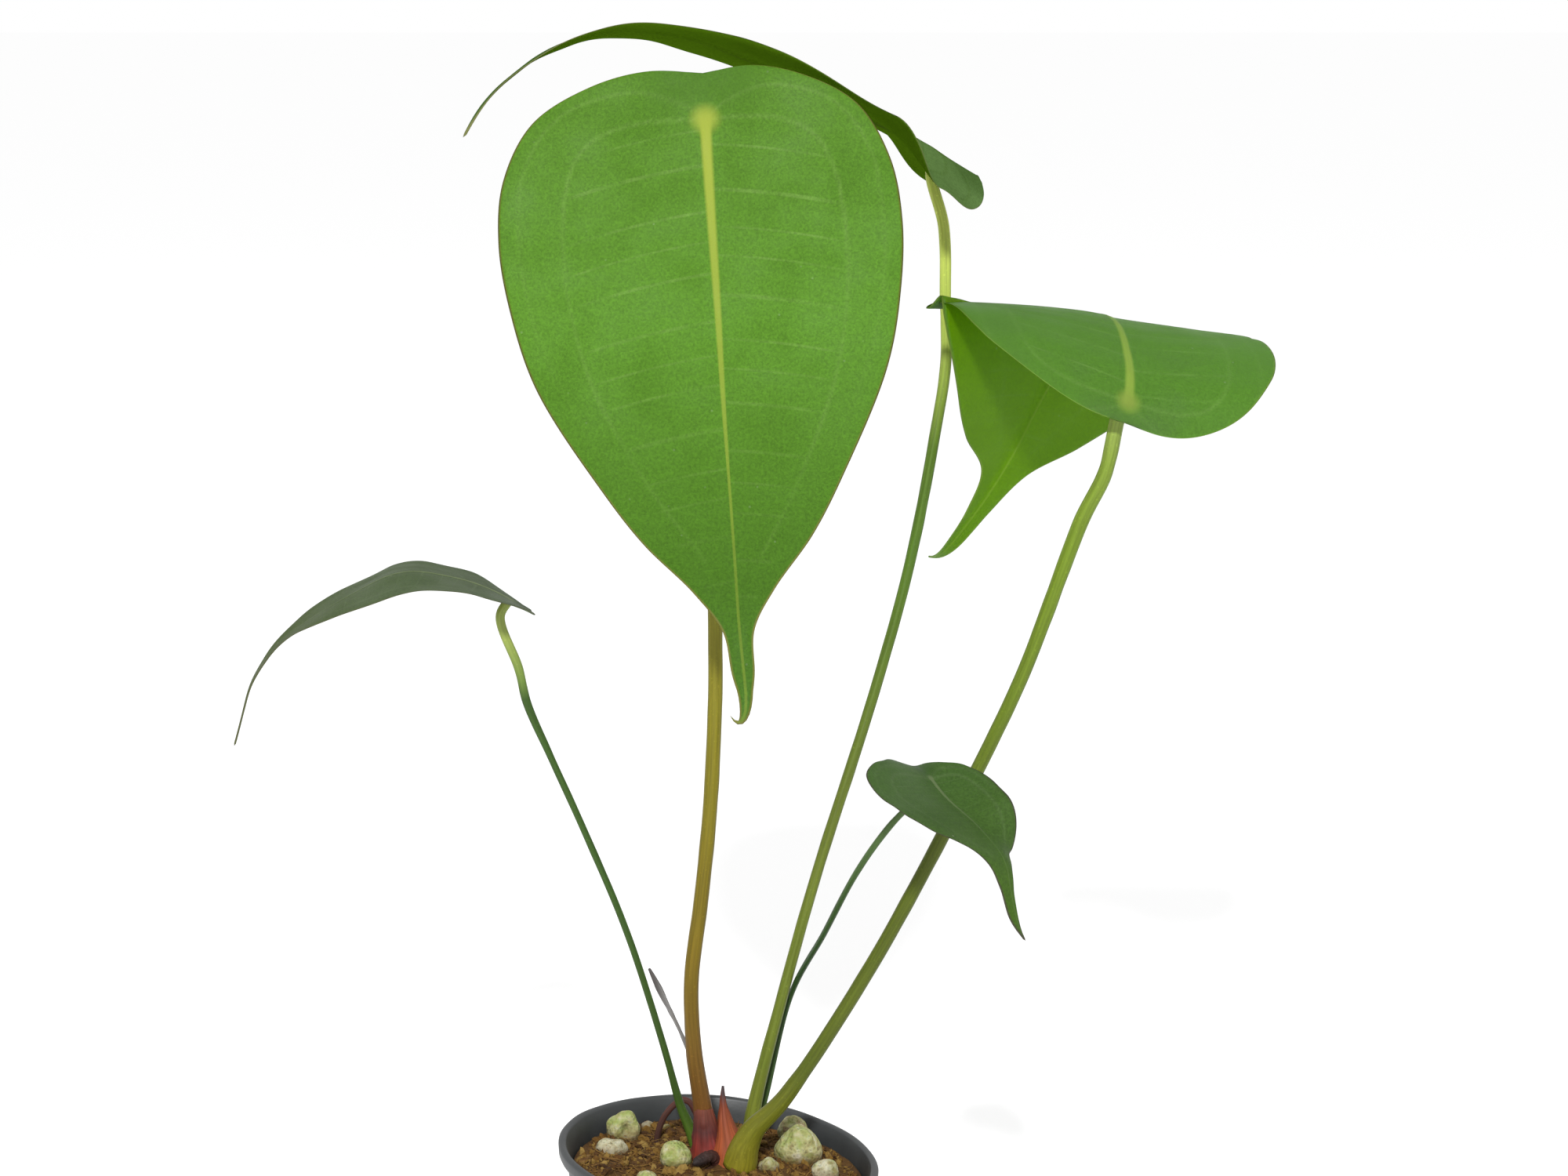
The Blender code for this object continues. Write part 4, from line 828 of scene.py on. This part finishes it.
def drill_holes(pot):
    """Cuts the drain holes with round drills, which are removed afterwards."""
    drills = []
    for hole in range(DRAIN_HOLES):
        angle = math.radians(DRAIN_TURN + 360 * hole / DRAIN_HOLES)
        rings = np.stack([spun(DRAIN_RADIUS, z, DRILL_SIDES) for z in (-4, 4)])
        drill = skin(f"drill_{hole}", rings + (*turned(DRAIN_CIRCLE, 0, angle), 0), pot.data.materials[0])
        cut = pot.modifiers.new(drill.name, "BOOLEAN")
        cut.operation = "DIFFERENCE"
        cut.solver = "EXACT"
        cut.object = drill
        drills.append(drill)
    bpy.context.view_layer.update()
    holed = bpy.data.meshes.new_from_object(pot.evaluated_get(bpy.context.evaluated_depsgraph_get()))
    pot.modifiers.clear()
    pot.data = holed
    for drill in drills:
        bpy.data.objects.remove(drill, do_unlink=True)


pot = build_pot()
drill_holes(pot)
show(pot, ["pot_shell"])

# %% [markdown]
# ## Potting mix
#
# The mix is bark, coir and grit. Its body is one rough surface with the CAD heaps, and what the eye reads as soil
# is the litter on top: hundreds of crumbs and short fibres. Each crumb has a few dozen faces, and they are made
# together as one array, so the whole litter costs little.

# %% Shape of the mix's top
HEAPS = (((2.0, 8.0), 1.4, 18.0), ((26.0, 17.0), 3.8, 13.0))  # place, height, spread
MIX_ROUGHNESS = 0.9
GAP = 0.35


def mix_height(x, y):
    """Height of the mix before the pot is softened: heaps, and crossing waves that die out at the wall."""
    fade = np.clip((POT_TOP_RADIUS - 5 - np.hypot(x, y)) / 8, 0, 1)
    waves = np.sin(x / 3.7 + 1.3 * np.sin(y / 6.1)) + np.cos(y / 4.3 - 0.9 * np.sin(x / 5.2))
    raised = MIX_ROUGHNESS * 0.5 * waves
    for place, height, spread in HEAPS:
        raised = raised + height * np.exp(-((x - place[0]) ** 2 + (y - place[1]) ** 2) / (2 * spread**2))
    return MIX_TOP + fade * raised


def on_mix(x, y):
    """Points on top of the mix at these places in plan."""
    return soften(together(x, y, mix_height(x, y)))


def resting(place, depth, sunk):
    """Centre of a piece of this depth, set down at the place and sunk in the mix."""
    return np.array([*place, on_mix(*place)[2] + depth / 2 - sunk])


# %% Finish of the mix
def litter_finish(name, codes):
    """Damp broken bark or coir: each crumb has its own brown, with painted shade in its hollows, and no gloss."""
    material, shader, add = new_finish(name)
    where = add("TexCoord", out="Object")
    own = add("Attribute", out="Fac", attribute_name="own_tone")
    rough = add("TexNoise", {"Vector": where, "Scale": cells(1.6), "Detail": 5.0, "Roughness": 0.7})
    # Painted shade: the noise that sets the bumps also darkens their low parts, so the hollows come out darker.
    tone = add("Math", (add("Math", (own, rough), **PLUS), 0.5), operation="SUBTRACT")
    colour = add("ValToRGB", [tone], stops=[(i / (len(codes) - 1), code) for i, code in enumerate(codes)])
    bump = add("Bump", {"Height": rough, "Strength": 0.8, "Distance": 0.8 * MM})
    feed(shader, {"Base Color": colour, "Roughness": 0.9, "Specular IOR Level": 0.25, "Normal": bump})
    return material


# %% Build the mix's body
MIX_SIDES = 180


def build_mix():
    """Closed body: rings across the rough top, down inside the pot's wall, and under the bottom."""
    inner = outer_radius(MIX_TOP) - POT_WALL - GAP - 0.8
    top = [(r, MIX_TOP) for r in np.linspace(0.5, inner, 62)]
    side = [(outer_radius(z) - POT_WALL - GAP, z) for z in np.linspace(MIX_TOP - 0.8, POT_FLOOR + GAP, 14)]
    under = [(r, POT_FLOOR + GAP) for r in (20.0, 2.0)]
    profile = np.array(top + side + under)
    rings = spun(profile[:, :1], profile[:, 1:], MIX_SIDES)
    rings[:len(top), :, 2] = mix_height(rings[:len(top), :, 0], rings[:len(top), :, 1])
    rings = soften(rings)
    lumps = 0.9 * noise(rings, 4.5, seed=21) + 0.6 * noise(rings, 1.9, seed=22)
    rings[:len(top), :, 2] += lumps[:len(top)] * np.linspace(1, 0.3, len(top))[:, None]
    finish = litter_finish("damp bark and coir mix", ("#3a230f", "#5d3f1a", "#7d5826", "#94702f"))
    return skin("mix", rings, finish, values={"own_tone": 0.42 + 0.12 * noise(rings, 6.0, seed=23)})


show(build_mix(), ["potting_mix"])

# %% Scatter the litter
SEED = 7
FREE_RADIUS = 44.5  # crumbs stay inside the wall
CROWN_CENTRE = np.array([1.5, 8.5])
CROWN_HALF_WIDTHS = np.array([12.0, 14.0])
CRUMB_GRID = (5, 7)
CRUMB_SINK = 0.3  # share of its size
FIBRE_GRID = (9, 4)


def scatter(count, seed, radius=FREE_RADIUS):
    """Random places in plan, evenly spread over the disc, and off the crown."""
    draw = np.random.default_rng(seed)
    distance = radius * np.sqrt(draw.uniform(0, 1, count * 2))
    angle = draw.uniform(0, 2 * math.pi, count * 2)
    spots = together(distance * np.cos(angle), distance * np.sin(angle))
    clear = (((spots - CROWN_CENTRE) / (CROWN_HALF_WIDTHS - 1.5)) ** 2).sum(-1) > 1
    return spots[clear][:count], draw


def turned_at_random(shapes, draw):
    """Each shape turned by its own random rotation: the orthogonal factor of a random matrix."""
    frames = np.linalg.qr(draw.normal(size=(len(shapes), 3, 3)))[0]
    return np.einsum("nrci,nij->nrcj", shapes, frames)


def build_crumbs(name, count, seed, sizes, flatness, material):
    """Crumbs: small balls of a few rings, stretched by their own three sizes, dented by noise and turned."""
    spots, draw = scatter(count, seed)
    count = len(spots)
    size = draw.uniform(*sizes, count)
    stretch = np.stack([draw.uniform(low, high, count) for low, high in ((0.7, 1.4), (0.5, 1.0), flatness)], axis=-1)
    dents = 1 + draw.uniform(-0.28, 0.28, (count, *CRUMB_GRID, 1))
    shapes = ball(*CRUMB_GRID) * dents * (size[:, None] * stretch)[:, None, None, :] / 2
    shapes = turned_at_random(shapes, draw)
    ground = on_mix(spots[:, 0], spots[:, 1])
    ground[:, 2] += size * (0.5 - CRUMB_SINK) * stretch.min(axis=1) + 0.4 * noise(ground, 4.5, seed=21)
    tones = np.repeat(draw.uniform(0.05, 0.95, count), math.prod(CRUMB_GRID))
    return skin(name, shapes + ground[:, None, None, :], material, values={"own_tone": tones}, smooth=False)


def build_fibres(name, count, seed, material):
    """Coir fibres: thin four-sided tubes on curved paths that lie on the mix and lift at their ends."""
    spots, draw = scatter(count, seed, radius=FREE_RADIUS - 3)
    count = len(spots)
    length = draw.uniform(5, 17, count)[:, None]
    heading = draw.uniform(0, 2 * math.pi, count)[:, None]
    bend = draw.normal(0, 0.09, count)[:, None]
    t = np.linspace(-0.5, 0.5, FIBRE_GRID[0])
    way = heading + bend * t * length
    x = spots[:, :1] + np.cos(way) * t * length
    y = spots[:, 1:] + np.sin(way) * t * length
    far = np.maximum(np.hypot(x, y) / FREE_RADIUS, 1)
    centres = on_mix(x / far, y / far)
    centres[..., 2] += 0.5 + draw.uniform(0, 1.6, count)[:, None] * (2 * np.abs(t)) ** 2
    radii = draw.uniform(0.1, 0.24, count)[:, None] * (1.1 - np.abs(t))
    rings = tube_rings(centres, np.repeat(radii[..., None], FIBRE_GRID[1], axis=-1), reference=(0, 0, 1))
    tones = np.repeat(draw.uniform(0.1, 0.9, count), math.prod(FIBRE_GRID))
    return skin(name, rings, material, values={"own_tone": tones})


bark_litter = litter_finish("broken pine bark", ("#40270f", "#6b4719", "#8d6a2a", "#a98a48"))
coir = litter_finish("coir fibre", ("#5c3d1c", "#8a6430", "#a5803f"))
show(build_crumbs("bark_crumbs", 900, SEED, (1.2, 3.8), (0.35, 0.8), bark_litter), [])
show(build_crumbs("soil_grains", 1500, SEED + 1, (0.6, 1.5), (0.6, 1.0), bark_litter), [])
show(build_fibres("coir_fibres", 340, SEED + 2, coir), [])

# %% [markdown]
# ## Pumice lumps
#
# The pale lumps are pumice, which keeps the mix airy. A lump is a ball whose radius is broken by noise of three
# sizes: overall shape, knobs, and pores. Light green algae grow where it stays damp, and soil stains it from below.

# %% Pumice sizes and finish
# Place in plan, full size, how deep each is sunk, and how green, pink and bright it is from 0 to 1.
LUMPS = {
    "pumice_hollow": ((-31.4, 25.6), (11.0, 9.4, 12.8), 4.6, (0.65, 0.0, 0.5)),
    "pumice_white": ((-34.4, 12.2), (11.0, 9.0, 9.0), 4.3, (0.1, 0.1, 0.9)),
    "pumice_bead": ((-24.0, 35.6), (4.6, 4.6, 4.4), 2.6, (0.1, 0.2, 0.9)),
    "pumice_pink": ((-18.0, 33.2), (3.8, 4.0, 3.6), 2.0, (0.0, 0.8, 0.5)),
    "pumice_round": ((-13.9, 0.2), (10.2, 9.4, 11.0), 3.6, (0.75, 0.0, 0.6)),
    "pumice_cap": ((24.0, 23.5), (9.4, 8.4, 9.0), 1.6, (0.35, 0.6, 0.5)),
    "pumice_tall": ((25.2, 9.4), (14.0, 11.0, 16.0), 6.4, (0.6, 0.1, 0.6)),
    "pumice_low": ((34.0, -1.2), (9.0, 8.4, 8.0), 3.0, (0.45, 0.1, 0.7)),
    "pumice_near": ((15.8, 0.4), (6.0, 5.6, 5.6), 2.0, (0.4, 0.1, 0.6)),
    "pumice_front": ((4.0, -29.0), (11.0, 9.6, 9.0), 3.6, (0.3, 0.1, 0.7)),
    "pumice_front_left": ((-22.5, -18.5), (9.0, 10.0, 8.6), 3.6, (0.5, 0.0, 0.6)),
    "pumice_front_right": ((27.0, -21.0), (8.4, 7.6, 7.2), 3.0, (0.2, 0.3, 0.8)),
}


def pumice_finish(name, level, green, pink, bright):
    """Weathered pumice: chalky, full of pores painted darker as shade, with an algae film and soil stains below the
    level it is sunk to.
    """
    material, shader, add = new_finish(f"weathered {name.replace('_', ' ')}")
    where = add("TexCoord", out="Object")
    patches = add("TexNoise", {"Vector": where, "Scale": cells(4.5), "Detail": 4.0})
    film = add("MapRange", (patches, 0.62 - 0.3 * green, 0.82 - 0.3 * green, 0.0, 0.25 + 0.7 * green))
    stone = add("TexNoise", {"Vector": where, "Scale": cells(2.2), "Detail": 5.0})
    pale = "#d8d2ae" if bright > 0.65 else "#c8c58a"
    body = add("ValToRGB", [stone], stops=((0.3, "#9c8f62"), (0.5, pale), (0.72, "#e2dec4")))
    blush = add("TexNoise", {"Vector": where, "Scale": cells(3.1), "Detail": 2.0, "Distortion": 0.6})
    blush = add("MapRange", (blush, 0.5, 0.7, 0.0, pink))
    up = add("SeparateXYZ", [where], "Z")
    stain = add("MapRange", (up, level * MM, (level + 3.5) * MM, 0.8, 0.0))
    for share, code in ((film, "#9fb457"), (blush, "#b5897c"), (stain, "#6d4c26")):
        body = add("Mix", {0: share, 6: body, 7: linear(code)}, **COLOURS)
    # Painted shade: the pores are darkened, as shade falls in them.
    pores = add("TexVoronoi", {"Vector": where, "Scale": cells(1.1)}, "Distance")
    dark = add("MapRange", (pores, 0.05, 0.35, 0.62, 1.0))
    body = add("VectorMath", {0: body, "Scale": dark}, operation="SCALE")
    bump = add("Bump", {"Height": add("Math", (pores, stone), **PLUS), "Strength": 0.7, "Distance": 0.5 * MM})
    feed(shader, {"Base Color": body, "Roughness": 0.92, "Specular IOR Level": 0.2, "Subsurface Weight": 0.08,
                  "Subsurface Scale": 1.0 * MM, "Normal": bump})
    return material


# %% Build the lumps
HOLLOW_FACES = np.array([0.25, -0.93, 0.25])
LUMP_GRID = (60, 84)


def build_lump(name, centre, size, seed, material, hollow):
    """Fine ball: radius times 1 plus noise for the shape, the knobs and the pores, and one deep hollow on the side
    that faces forwards where asked."""
    sphere = ball(*LUMP_GRID)
    reach = float(np.mean(size)) / 2
    shape = 1 + 0.16 * noise(sphere * reach, reach, seed) + 0.09 * noise(sphere * reach, reach * 0.45, seed + 1)
    shape -= 0.05 * np.clip(noise(sphere * reach, 0.85, seed + 2) - 0.1, 0, 1)
    shape -= hollow * np.exp(-((1 - (sphere * HOLLOW_FACES).sum(-1)) / 0.09) ** 2)
    return skin(name, centre + sphere * shape[..., None] * np.array(size) / 2, material)


for number, (name, (place, size, sunk, (green, pink, bright))) in enumerate(LUMPS.items()):
    centre = resting(place, size[2], sunk)
    finish = pumice_finish(name, centre[2] - size[2] / 2 + sunk, green, pink, bright)
    hollow = 0.5 if name == "pumice_hollow" else 0.0
    stone = build_lump(name.replace("pumice", "stone"), centre, size, 40 + 3 * number, finish, hollow)
    show(stone, [name])

# %% [markdown]
# ## Bark chips
#
# A chip is a flat splinter with grain along it. A squared ring carried along its length, narrowing at the ends
# and cut by noise, makes a splinter that is never quite straight.

# %% Build the chips
CHIPS = {  # place in plan, full size, heading in degrees
    "bark_chip_left": ((-43.0, 4.0), (9.0, 4.0, 2.0), 76.0),
    "bark_chip_back": ((3.0, 35.5), (11.0, 4.4, 2.0), 14.0),
    "bark_chip_front": ((-9.5, -33.0), (10.0, 4.6, 2.0), -28.0),
    "bark_chip_right": ((36.0, -11.0), (9.0, 3.8, 2.0), 74.0),
    "bark_chip_edge": ((-35.0, -21.5), (8.0, 3.6, 2.0), 128.0),
}
CHIP_SUNK = 1.1
CHIP_GRID = (46, 44)
SQUARE = 0.45  # the lower, the squarer a chip's section


def build_chip(name, centre, size, heading, seed, material):
    """Rings of a rounded oblong, cos and sin to a low power, along the chip, tapered, then worn by noise."""
    along = np.linspace(-1, 1, CHIP_GRID[0])[:, None]
    turn = around(CHIP_GRID[1])
    wide, deep = (np.sign(way) * np.abs(way) ** SQUARE for way in (np.cos(turn), np.sin(turn)))
    taper = (1 - np.abs(along) ** 5) ** 0.6 * (1 - 0.14 * (along + 1))
    rings = together(along, taper * wide, np.maximum(taper, 0.15) * deep) * np.array(size) / 2
    grain = noise(rings * (0.22, 1.0, 1.0), 0.9, seed)
    rings *= 1 + 0.10 * grain[..., None]
    rings[..., 2] += 0.25 * noise(rings, 3.0, seed + 1)
    laid = together(*turned(rings[..., 0], rings[..., 1], math.radians(heading)), rings[..., 2])
    return skin(name, laid + centre, material, values={"own_tone": 0.55 + 0.3 * grain})


chip_bark = litter_finish("weathered pine bark", ("#3a2413", "#6b4823", "#8d6836", "#a98650"))
for number, (name, (place, size, heading)) in enumerate(CHIPS.items()):
    centre = resting(place, size[2], CHIP_SUNK)
    show(build_chip(name.replace("bark_chip", "chip"), centre, size, heading, 80 + number, chip_bark), [name])

# %% [markdown]
# ## Crown, sheaths and roots
#
# The crown is a short thick stem, ringed by the scars of old leaves. Two papery sheaths that once wrapped young
# leaves stand on it, one orange with a dark horn-like tip. A stub, a withered stalk and a root in the air finish
# the foot of the plant. The sheaths are thin curved sheets, and the rest are tubes.

# %% Dry finish
def dry_finish(name, stops, through=0.0):
    """Dry plant tissue: a colour ramp along the piece, with fibres as streaks along it."""
    material, shader, add = new_finish(name)
    place = add("Attribute", out="Vector", attribute_name="stalk_place")
    blotch = add("TexNoise", {"Vector": place, "Scale": 0.35, "Detail": 4.0})
    shift = add("MapRange", (blotch, 0.2, 0.8, -0.16, 0.16))
    colour = add("ValToRGB", [add("Math", (add("SeparateXYZ", [place], "Z"), shift), **PLUS)], stops=stops)
    stretched = add("Mapping", {0: place, "Scale": (2.2, 2.2, 1.2)})
    fibres = add("TexNoise", {"Vector": stretched, "Scale": 1.0, "Detail": 4.0})
    tint = add("MapRange", (fibres, 0.3, 0.7, 0.65, 1.35))
    colour = add("VectorMath", {0: colour, "Scale": tint}, operation="SCALE")
    bump = add("Bump", {"Height": fibres, "Strength": 0.5, "Distance": 0.3 * MM})
    feed(shader, {"Base Color": colour, "Roughness": 0.7, "Specular IOR Level": 0.35, "Subsurface Weight": through,
                  "Subsurface Scale": 1.0 * MM, "Normal": bump})
    return material


# %% Dry tubes: stub, withered stalk and root in the air
TUBE_GRID = (110, 20)
TUBES = {
    "old_stub": ("stub", ((-0.5, 2, CROWN_TOP + 0.5), (-2.5, -0.5, 83.4), (-5.5, -3.7, 83.4), (-8, -6, 82.8)),
                 (1.9, 2.0, 1.8, 1.4), 0.10, ((0.0, "#5a2a20"), (0.5, "#3f241d"), (0.9, "#2b1d1a"))),
    "dried_stalk": ("withered_stalk", ((-2.8, 16.5, CROWN_TOP), (-4.2, 15.5, 90), (-7, 13, 103), (-9.6, 11, 113.5),
                     (-11.8, 9, 120.5), (-16.6, 6, 132), (-20.6, 4.3, 141.2), (-21.9, 4, 144)),
                    (0.9, 0.75, 0.6, 0.55, 0.55, 0.6, 1.0, 1.1), 0.14,
                    ((0.0, "#6b5a48"), (0.4, "#85817c"), (0.8, "#8a8886"), (0.93, "#55514e"), (1.0, "#4a4542"))),
    "aerial_root": ("root_in_air", ((-5, 19.5, CROWN_TOP), (-6.8, 20, 88), (-9.7, 20.2, 94.2), (-12.4, 20.3, 95),
                     (-15.5, 20.4, 92.7), (-18.6, 20.6, 88.3), (-20.4, 21, 82), (-20.8, 21.1, 73)),
                    (1.1, 1.1, 1.05, 1.05, 1.0, 1.0, 0.95, 0.9), 0.08,
                    ((0.0, "#4e2a20"), (0.4, "#5c2e22"), (0.8, "#47291e"), (1.0, "#33211a"))),
}


def build_tube(name, points, radii, roughness, material, seed):
    """Tube on the path whose radius is broken by noise, wrinkled along its length."""
    rows, sides = TUBE_GRID
    up = np.linspace(0, 1, rows)[:, None]
    girth = np.interp(up, np.linspace(0, 1, len(radii)), radii) * np.ones(sides)
    place = spun(girth, up * 40, sides)
    girth = girth * (1 + roughness * noise(place, 1.5, seed) + roughness * noise(place * (1, 1, 0.2), 0.6, seed + 1))
    girth = girth * np.minimum(1, 0.35 + 6 * (1 - up))
    place[..., 2] = up
    return skin(name, tube_rings(smooth_path(points, rows), girth), material, values={"stalk_place": place})


for number, (name, (title, points, radii, roughness, stops)) in enumerate(TUBES.items()):
    finish = dry_finish(f"dry {name.replace('_', ' ')}", stops)
    show(build_tube(title, points, radii, roughness, finish, 100 + 2 * number), [name])

# %% [markdown]
# ### Sheaths
#
# A sheath is a sheet curled round the foot of a stalk. Across it the angle runs through most of a half turn, and
# along it the radius shrinks to a point. The two faces stand a few tenths apart and meet at the edges.

# %% Build the sheaths
SHEATH_ROWS = 90
SHEATH_COLUMNS = 36
SHEATH_THICKNESS = 0.5
SHEATHS = {  # piece: path, radii along it, half the wrap and the way it faces in degrees, seed, finish's stops
    "orange_sheath": (((3.2, 3.6, CROWN_TOP - 3), (3.0, 5.2, 87), (1.8, 7.4, 94), (1.2, 8.8, 99.5),
                       (1.2, 9.6, 103.5)), (5.6, 5.0, 3.0, 1.3, 0.25), 125, -90, 120,
                      ((0.0, "#c07a45"), (0.14, "#b4572a"), (0.5, "#9c4a22"), (0.74, "#8b3f20"), (0.88, "#4c3433"),
                       (1.0, "#40343a"))),
    "red_sheath": (((-3.6, 7.8, CROWN_TOP - 3), (-3.8, 8.0, 85), (-4.2, 8.0, 91), (-4.6, 7.8, 97)),
                   (5.4, 4.9, 4.2, 3.1), 115, -100, 130,
                   ((0.0, "#a2482a"), (0.35, "#8a2c22"), (0.6, "#5c2420"), (1.0, "#7a3a24"))),
}


def build_sheath(name, points, radii, wrap, faces_way, seed, material):
    """Sheet on the surface of a tube: at height u and across v from -1 to 1, the point is the path plus the radius
    along the direction turned v times the wrap from the way it faces, worn by noise and with a keel down its back."""
    up = np.linspace(0, 1, SHEATH_ROWS)[:, None]
    out = np.linspace(-1, 1, SHEATH_COLUMNS)
    radius = np.interp(up, np.linspace(0, 1, len(radii)), radii)
    angle = math.radians(faces_way) + out * np.radians(wrap) * np.clip(1.15 - 0.55 * up, 0.4, 1)
    spot = together(out * 8, up * 24, 0)
    radius = radius * (1 + 0.09 * noise(spot, 3.2, seed) + 0.03 * noise(spot * (1, 0.2, 1), 0.8, seed + 1))
    radius = radius + 0.5 * np.exp(-(out / 0.16) ** 2) * np.sin(math.pi * np.clip(up * 1.1, 0, 1))
    centres = smooth_path(points, SHEATH_ROWS)[:, None, :]
    sheet = centres + together(radius * np.cos(angle), radius * np.sin(angle), 0)
    stand = facing(sheet) * (SHEATH_THICKNESS / 2 * np.sqrt(1 - np.abs(out) ** 6))[:, None]
    place = together(out * 4, 0, up)
    rings, place = (np.concatenate([face, back[:, -2:0:-1]], axis=1)
                    for face, back in ((sheet + stand, sheet - stand), (place, place)))
    return skin(name, rings, material, values={"stalk_place": place})


for name, (points, radii, wrap, faces_way, seed, stops) in SHEATHS.items():
    hue = name.split("_")[0]
    finish = dry_finish(f"papery {hue} sheath", stops, through=0.1)
    slot = f"sheath_{hue}"
    show(build_sheath(name, points, radii, wrap, faces_way, seed, finish), [slot])

# %% Build the crown and its roots
CROWN_BOTTOM = 56.0
CROWN_GRID = (70, 96)
SCAR_SPACING = 4.0
ROOT_RADIUS = 1.9
ROOT_GRID = (40, 12)
ROOT_ENDS = ((24, -8, 22), (-22, -14, 26), (-16, 28, 20), (20, 30, 30), (3, -26, 14), (4, 12, 12))


def build_crown(material):
    """Oval rings that widen upwards, with a ring of scars every few mm and a domed top."""
    up = np.linspace(0, 1, CROWN_GRID[0])[:, None]
    height = CROWN_BOTTOM + (CROWN_TOP - CROWN_BOTTOM) * up
    share = np.interp(height, (56, 62, 70, 76, 80), (0.55, 0.72, 0.90, 1.0, 0.95))
    dome = np.sqrt(np.clip(1 - np.clip((up - 0.84) / 0.16, 0, 1) ** 2, 0, 1))
    scars = 1 + 0.035 * np.sin(height / SCAR_SPACING * 2 * math.pi)
    rings = spun(share * (0.08 + 0.92 * dome) * scars, height + 1.0, CROWN_GRID[1])
    rings = rings * (*CROWN_HALF_WIDTHS, 1) + (*CROWN_CENTRE, 0)
    rough = 0.5 * noise(rings, 3.0, seed=31) + 0.25 * noise(rings, 1.1, seed=32)
    ways = rings - (*CROWN_CENTRE, CROWN_TOP - 12)
    rings = rings + ways / np.linalg.norm(ways, axis=-1, keepdims=True) * rough[..., None]
    return skin("crown", rings, material, values={"own_tone": 0.5 + 0.35 * noise(rings, 4.0, seed=33)})


def build_roots(material):
    """Six roots, each a tube from inside the crown, out and down, tapering to its end."""
    middle_x, middle_y = CROWN_CENTRE
    paths = []
    for x, y, z in ROOT_ENDS:
        start = (middle_x + 0.15 * x, middle_y + 0.15 * y, CROWN_BOTTOM + 6)
        bend = (middle_x + 0.6 * x, middle_y + 0.5 * (y - middle_y), (z + CROWN_BOTTOM) / 2 + 6)
        paths.append(smooth_path((start, bend, (x, y, z)), ROOT_GRID[0]))
    radii = ROOT_RADIUS * np.interp(np.linspace(0, 1, ROOT_GRID[0]), (0, 0.5, 1), (1, 1, 0.5))[:, None]
    rings = tube_rings(np.array(paths), np.broadcast_to(radii, (len(paths), *ROOT_GRID)), reference=(0.3, 0.2, 1))
    return skin("roots", rings, material, values={"own_tone": 0.6 + 0.3 * noise(rings, 3.0, seed=34)})


crown_bark = litter_finish("brown crown bark", ("#2a1a12", "#4a2c1a", "#6a4526", "#87602f"))
root_rind = litter_finish("pale root rind", ("#8a7048", "#a88d5e", "#c2aa7c"))
show(build_crown(crown_bark), ["crown_and_roots"])
show(build_roots(root_rind), [])

# %% [markdown]
# ## Studio
#
# The plant stands on a plain near-white floor under a soft white sky, with one main light high in front. The sky
# keeps shadows open, and the main light is small, so that the overhanging half of the right leaf draws a shadow on
# its own underside.

# %% Floor and light
FLOOR_HALF = 60000.0  # mm, out to the horizon
FLOOR_CORNERS = ((-1, -1), (1, -1), (1, 1), (-1, 1))
WHITE = (1.0, 1.0, 1.0, 1.0)
MAIN_LIGHT_FROM = np.array([-0.12, -1.75, 1.3])  # metres
MAIN_LIGHT_AT = np.array([0.02, 0.0, 0.28])
MAIN_LIGHT_SIZE = 0.16
MAIN_LIGHT_POWER = 52.0  # watts

board, shader, _ = new_finish("matt white studio board")
feed(shader, {"Base Color": linear("#fdfdfd", 1.0), "Roughness": 1.0, "Specular IOR Level": 0.0})
floor = skin("floor", [[(x * FLOOR_HALF, y * FLOOR_HALF, z) for x, y in FLOOR_CORNERS] for z in (-5.0, 0.0)], board,
             smooth=False)

world = bpy.data.worlds.new("white sky")
world.use_nodes = True
feed(world.node_tree.nodes["Background"], {"Color": WHITE, "Strength": 1.0})
bpy.context.scene.world = world

lamp = bpy.data.lights.new("main light", "AREA")
lamp.shape = "DISK"
lamp.size = MAIN_LIGHT_SIZE
lamp.energy = MAIN_LIGHT_POWER
light = bpy.data.objects.new("main light", lamp)
light.location = MAIN_LIGHT_FROM
way = MAIN_LIGHT_AT - MAIN_LIGHT_FROM
light.rotation_euler = (math.atan2(math.hypot(way[0], way[1]), -way[2]), 0, math.atan2(-way[0], way[1]))
bpy.context.scene.collection.objects.link(light)
bpy.context.scene.view_settings.view_transform = "Standard"
